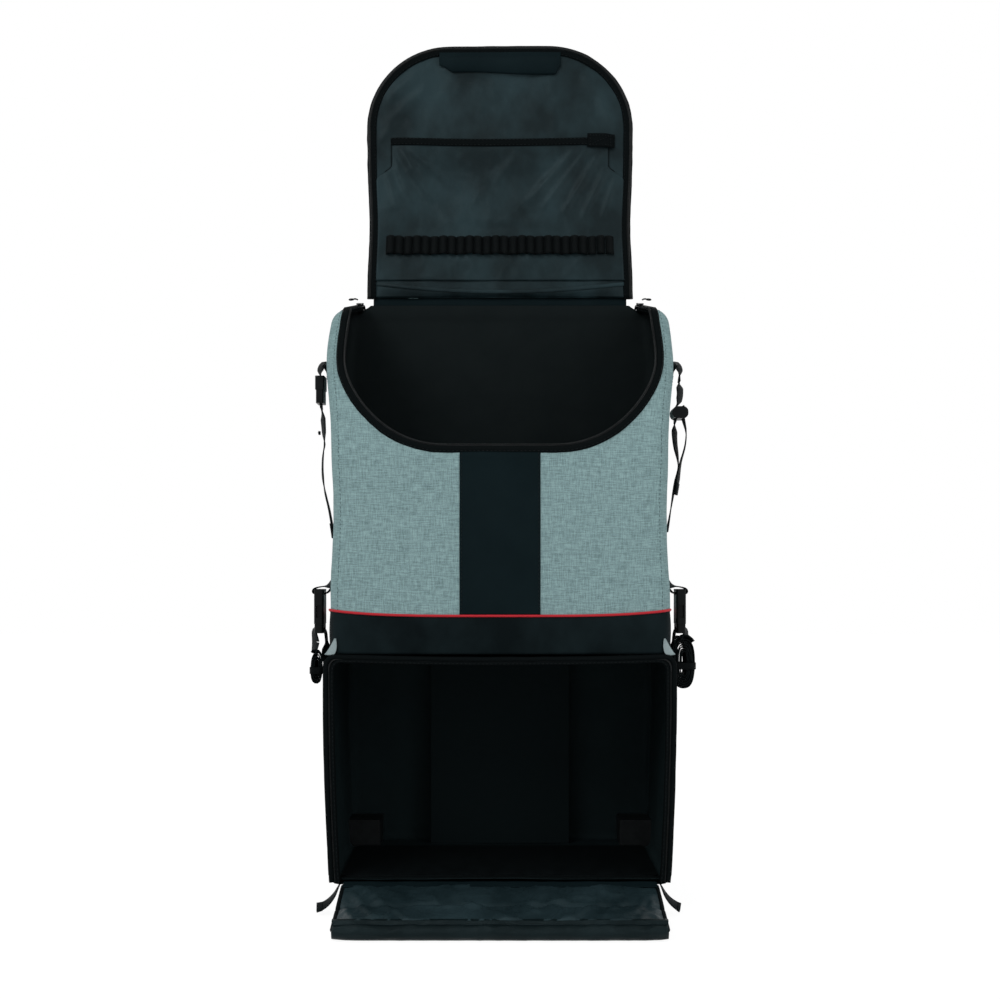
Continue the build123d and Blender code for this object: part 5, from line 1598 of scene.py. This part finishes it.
strapTwists = {
    "toteLow": ((0, 0), (0.10, 0), (0.20, 24), (0.27, 22), (0.36, 2), (0.4, 0), (1, 0)),
    "cartLow": (
        (0, 0), (0.38, 0), (0.50, 30), (0.58, 24), (0.64, 0), (0.80, 0), (0.9, 20), (1, 28)
    ),
    "hank": ((0, 28), (0.06, 20), (0.15, 9), (1, 6)),
    "standingFold": ((0, 0), (0.5, 9), (1, 4)),
    "anchor": ((0, 0), (0.3, 0), (0.46, 20), (0.72, 25), (0.86, 4), (1, 0)),
    "leftEnd": (
        (0, 0), (0.06, 0), (0.14, 19), (0.24, 16), (0.31, 4), (0.40, 9), (0.56, 10), (0.68, 3),
        (1, 0),
    ),
    "rightInner": (
        (0, 0), (0.04, 26), (0.12, 22), (0.165, 0), (0.27, 0), (0.33, 22), (0.46, 17), (0.56, 6),
        (0.66, 14), (0.8, 8), (1, 0),
    ),
    "rightOuter": ((0, 0), (0.16, 0), (0.32, 7), (0.6, 8), (0.86, 15), (1, 10)),
    "rightHem": ((0, 12), (1, 10)),
}


def strapRun(
    line, sign, twist=((0, 0), (1, 0)), width=None, thick=None, y=None, order=3, step=0.0022
):
    # a strap along (out, up) points at one side; twist lists share of its length and degrees
    thick = thick or strap["thick"]
    line = smoothLine(np.asarray(line, float), step, order)
    path = spread(sign * line[:, 0], strapY if y is None else y, line[:, 1])
    share = np.linspace(0, 1, len(path))
    turn = np.radians(np.interp(share, [k[0] for k in twist], [k[1] for k in twist]))[:, None]
    along = tangents(path)
    across = hold((0.0, 1.0, 0.0), len(path))
    out = np.cross(along, across)
    out = unit(out) * sign
    side = np.cos(turn) * across + np.sin(turn) * out
    up = np.cross(side, along) * sign
    up = unit(up)
    if (np.cross(side, up) * along).sum() > 0:
        side = -side
    profile = np.array(roundedStrip(width or strap["width"], thick)) - (0, thick / 2)
    return path, side, up, sweep(path, side, up, profile)


def seamPair(run, first, last, apart=0.0105):
    # two rows of stitches along part of a strap
    path, side, up, _ = run
    thick = strap["thick"] / 2 + 0.0001
    held = slice(int(first * len(path)), max(int(last * len(path)), int(first * len(path)) + 4))
    return [
        stitchRow(path[held] + side[held] * k + up[held] * thick, up[held], 0.004, 0.0027)
        for k in (-apart, apart)
    ]


def hank(shape, seed):
    # spare webbing rolled up flat, from its outside inwards
    x, z, wide, high, turns = shape
    turn = np.linspace(0, 2 * math.pi * turns, int(26 * turns))
    shrink = 1 - 0.86 * turn / turn[-1]
    wobble = 1 + 0.07 * np.sin(turn * 1.7 + seed) * shrink + 0.05 * np.sin(turn * 0.61 + 2 * seed)
    c, s = np.cos(turn + 0.25 * math.pi), np.sin(turn + 0.25 * math.pi)
    out = x + wide * shrink * np.sign(c) * np.abs(c) ** 0.75 * wobble
    up = z + high * (0.35 + 0.65 * shrink) * np.sign(s) * np.abs(s) ** 0.9
    return np.column_stack([out, up])


def keeper(sign, x, z, wide):
    # an elastic band round a hank
    turn = np.linspace(0, 2 * math.pi, 44, endpoint=False)
    c, s = np.cos(turn), np.sin(turn)
    out = x + (wide + 0.0014) * np.sign(c) * np.abs(c) ** 0.45
    y = strapY + 0.0148 * np.sign(s) * np.abs(s) ** 0.45
    path = spread(sign * out, y, z)
    up = np.column_stack([sign * c, s, 0 * c])
    return sweep(path, hold(upward, 44), up, roundedStrip(0.009, 0.0013), loop=True)


def course(name, sign, **settings):
    return strapRun(strapLines[name], sign, strapTwists.get(name, ((0, 0), (1, 0))), **settings)


def buildStraps():
    sewn = {"tote_webbing": [], "cart_webbing": [], "strap_anchors": []}
    stitches = {"tote": [], "cart": []}
    bands = []
    for sign in (-1, 1):
        run = course("toteLow", sign)
        sewn["tote_webbing"].append(run[3])
        stitches["tote"] += seamPair(run, 0.0, 0.16)

        run = course("cartLow", sign)
        sewn["cart_webbing"].append(run[3])
        stitches["cart"] += seamPair(run, 0.0, 0.22)
        shape = strap["rightHank" if sign > 0 else "leftHank"]
        roll = hank(shape, 1.0 + sign)
        lead = [(0.2455, 0.3480), (0.2462, roll[0, 1] + 0.012)]
        run = strapRun(np.concatenate([lead, roll]), sign, strapTwists["hank"], step=0.0026)
        sewn["cart_webbing"].append(run[3])
        bands.append(keeper(sign, shape[0], shape[1] - 0.004, shape[2]))
        if sign > 0:    # a loose fold that stands up beside the roll
            sewn["cart_webbing"].append(course("standingFold", sign)[3])

        run = course("anchor", sign)
        sewn["strap_anchors"].append(run[3])
        stitches["tote"] += seamPair(run, 0.0, 0.24) + seamPair(run, 0.62, 0.80)

    for name, parts in sewn.items():
        body = "cart" if name == "cart_webbing" else "tote"
        piece(name + "_straps", parts, webbing, body, [name])
    for body, parts in stitches.items():
        piece(body + "_strap_stitching", parts, thread, body)
    piece("spare_end_keepers", bands, elastic, "cart")

    # the hanging ends: edge-on where they are straight, and turned a little between
    left = [
        course("leftEnd", -1, order=2)[3],
        course("leftHem", -1, thick=0.0034)[3],
        course("leftKnot", -1, width=0.006, thick=0.003)[3],
    ]
    piece("hanging_strap_left", left, webbing, "tote", ["side_webbing_left"])
    right = [
        course("rightInner", 1, order=2)[3],
        course("rightOuter", 1, order=2)[3],
        course("rightHem", 1, thick=0.0036)[3],
    ]
    piece("hanging_strap_right", right, webbing, "tote", ["side_webbing_right"])

    # pull tabs under the cart's front corners
    parts, seams = [], []
    for sign, reach in ((-1, 0.0), (1, -0.004)):
        line = strapLines["pullTab"] + [(0.2365 + reach, 0.0080)]
        tilt = strap["tabTilt"]
        run = strapRun(line, sign, ((0, 0), (0.3, 8), (1, tilt)), width=0.0195, y=tabY)
        parts.append(run[3])
        parts.append(
            strapRun(line[-2:], sign, ((0, tilt * 0.8), (1, tilt)), 0.0195, 0.0034, tabY)[3]
        )
        seams += seamPair(run, 0.72, 0.86, 0.0075)
    tabs = aboveFloor(joined(parts), 0.0006)
    piece("door_pull_tabs", tabs, webbing, "cart", ["door_end_tabs"])
    piece("door_tab_stitching", seams, thread, "cart")


buildStraps()

# ---- sleeve on the tote's back, slipped over the trolley handle
sleeve = {
    "flange": 0.010,         # sewn to the tote's back, each side
    "bulge": 0.0004,
    "thick": 0.0019,
}


def buildSleeve():
    low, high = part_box("trolley_sleeve")
    back, half = low.y, high.x
    out = high.y + 0.0006
    flange = half + sleeve["flange"]
    line = [(flange, back + 0.0012), (half + 0.002, back + 0.0016), (half - 0.0002, back + 0.005)]
    line += [
        (half, back + 0.028), (half - 0.0004, out - 0.002), (half - 0.004, out),
        (0.030, out - 0.0004)
    ]
    line = np.array(line + [(0.0, out - 0.0006)] + [(-x, y) for x, y in line[::-1]])
    line = smoothLine(line, 0.0035, 2)
    z = np.linspace(low.z, high.z, 34)[:, None]
    rise = (z - low.z) / (high.z - low.z)
    x, y = line[None, :, 0], line[None, :, 1]
    stand = smoothStep(y, back + 0.004, out - 0.006)
    pinch = sleeve["bulge"] * (1 - np.sin(math.pi * rise) ** 0.5) * stand
    wrinkle = (
        (0.0008 + 0.0010 * softNoise(x + 0 * z, z + 0 * x, 30.0, 51))
        * stand * np.sin(math.pi * rise) ** 0.5
    )
    y = y - pinch + wrinkle
    grid = spread(x, y, z)
    run = runAlong(line)[None]
    made = piece(
        "trolley_sleeve_cloth", slab(grid, sleeve["thick"], flatOf(run, z)), nylon, "tote",
        ["trolley_sleeve"]
    )
    parts, seams = [], []
    for k, lift in ((0, 1), (-1, -1)):    # bound ends
        path = grid[k]
        up = np.cross(tangents(path), (0.0, 0.0, 1.0))
        up = unit(up)
        up = up * (1 if up[len(up) // 2, 1] > 0 else -1)
        side = hold(upward, len(path))
        shape = np.array(roundedStrip(0.010, 0.0038, 0.4)) + (0.0045 * lift, -0.0026)
        parts.append(sweep(path, side, up, shape))
        seams.append(stitchRow(path + side * 0.0078 * lift + up * 0.0013, up))
    for sign in (-1, 1):    # rows of stitches down the flanges
        for inset in (0.0015, 0.0062):
            path = spread(sign * (flange - inset), back + 0.0032, np.linspace(low.z, high.z, 40))
            seams.append(stitchRow(path, hold((0.0, 1.0, 0.0), 40)))
    piece("trolley_sleeve_binding", parts, binding, "tote")
    piece("trolley_sleeve_stitching", seams, thread, "tote")

    # cord pulls on the zipper's two sliders
    parts = []
    low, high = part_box("zipper_sliders")
    for sign in (-1, 1):
        start = np.array((sign * (high.x - 0.002), low.y + 0.012, high.z + 0.0006))
        line = start + [
            (0, 0, 0), (sign * 0.003, -0.005, 0.0005), (sign * 0.005, -0.012, -0.0016),
            (sign * 0.006, -0.020, -0.0032)
        ]
        line = smoothLine(line, 0.001, 2)
        along = tangents(line)
        side = np.cross(along, (0.0, 0.0, 1.0))
        side = unit(side)
        parts.append(sweep(line, side, np.cross(side, along), circleProfile(0.0011, 8)))
        grip = (
            line[-1]
            + np.linspace(-0.001, 1, 8)[:, None] * along[-1] * strap["pullLength"] * 0.55
        )
        shape = circleProfile(0.0030, 12, 0.55)
        parts.append(sweep(grip, hold(side[-1], 8), hold(np.cross(side, along)[-1], 8), shape))
    piece("zipper_pulls", parts, rubber, "tote")


buildSleeve()
print("straps and sleeve built")

# ---- moulded and metal parts that keep their CAD shape
finishes = {
    "plastic": (plastic, [
        "tote_buckle_left", "tote_buckle_right", "cart_buckle_left", "cart_buckle_right",
        "side_buckle_left", "ladder_lock_right",
    ]),
    "lined": (channelNylon, ["tube_channel"]),
    "moulded": (hardPlastic, [
        "wheel_housing_left", "wheel_housing_right", "wheel_hub_left", "wheel_hub_right",
        "front_feet", "handle_foot", "handle_bezel", "handle_grip", "handle_button",
    ]),
    "rubber": (rubber, ["tyre_left", "tyre_right"]),
    "metal": (
        tubing, ["wheel_axles", "handle_outer_tubes", "handle_mid_tubes", "handle_inner_tubes"]
    ),
    "enamel": (gunmetal, ["zipper_sliders"]),
    "board": (boardSkin, ["cart_base_board", "tote_base_board"]),
}
for finish, held in finishes.values():
    for name in held:
        slots = bpy.data.objects[name].material_slots
        if not slots:
            bpy.data.objects[name].data.materials.append(finish)
        for slot in slots:
            slot.material = finish
print("finishes set")
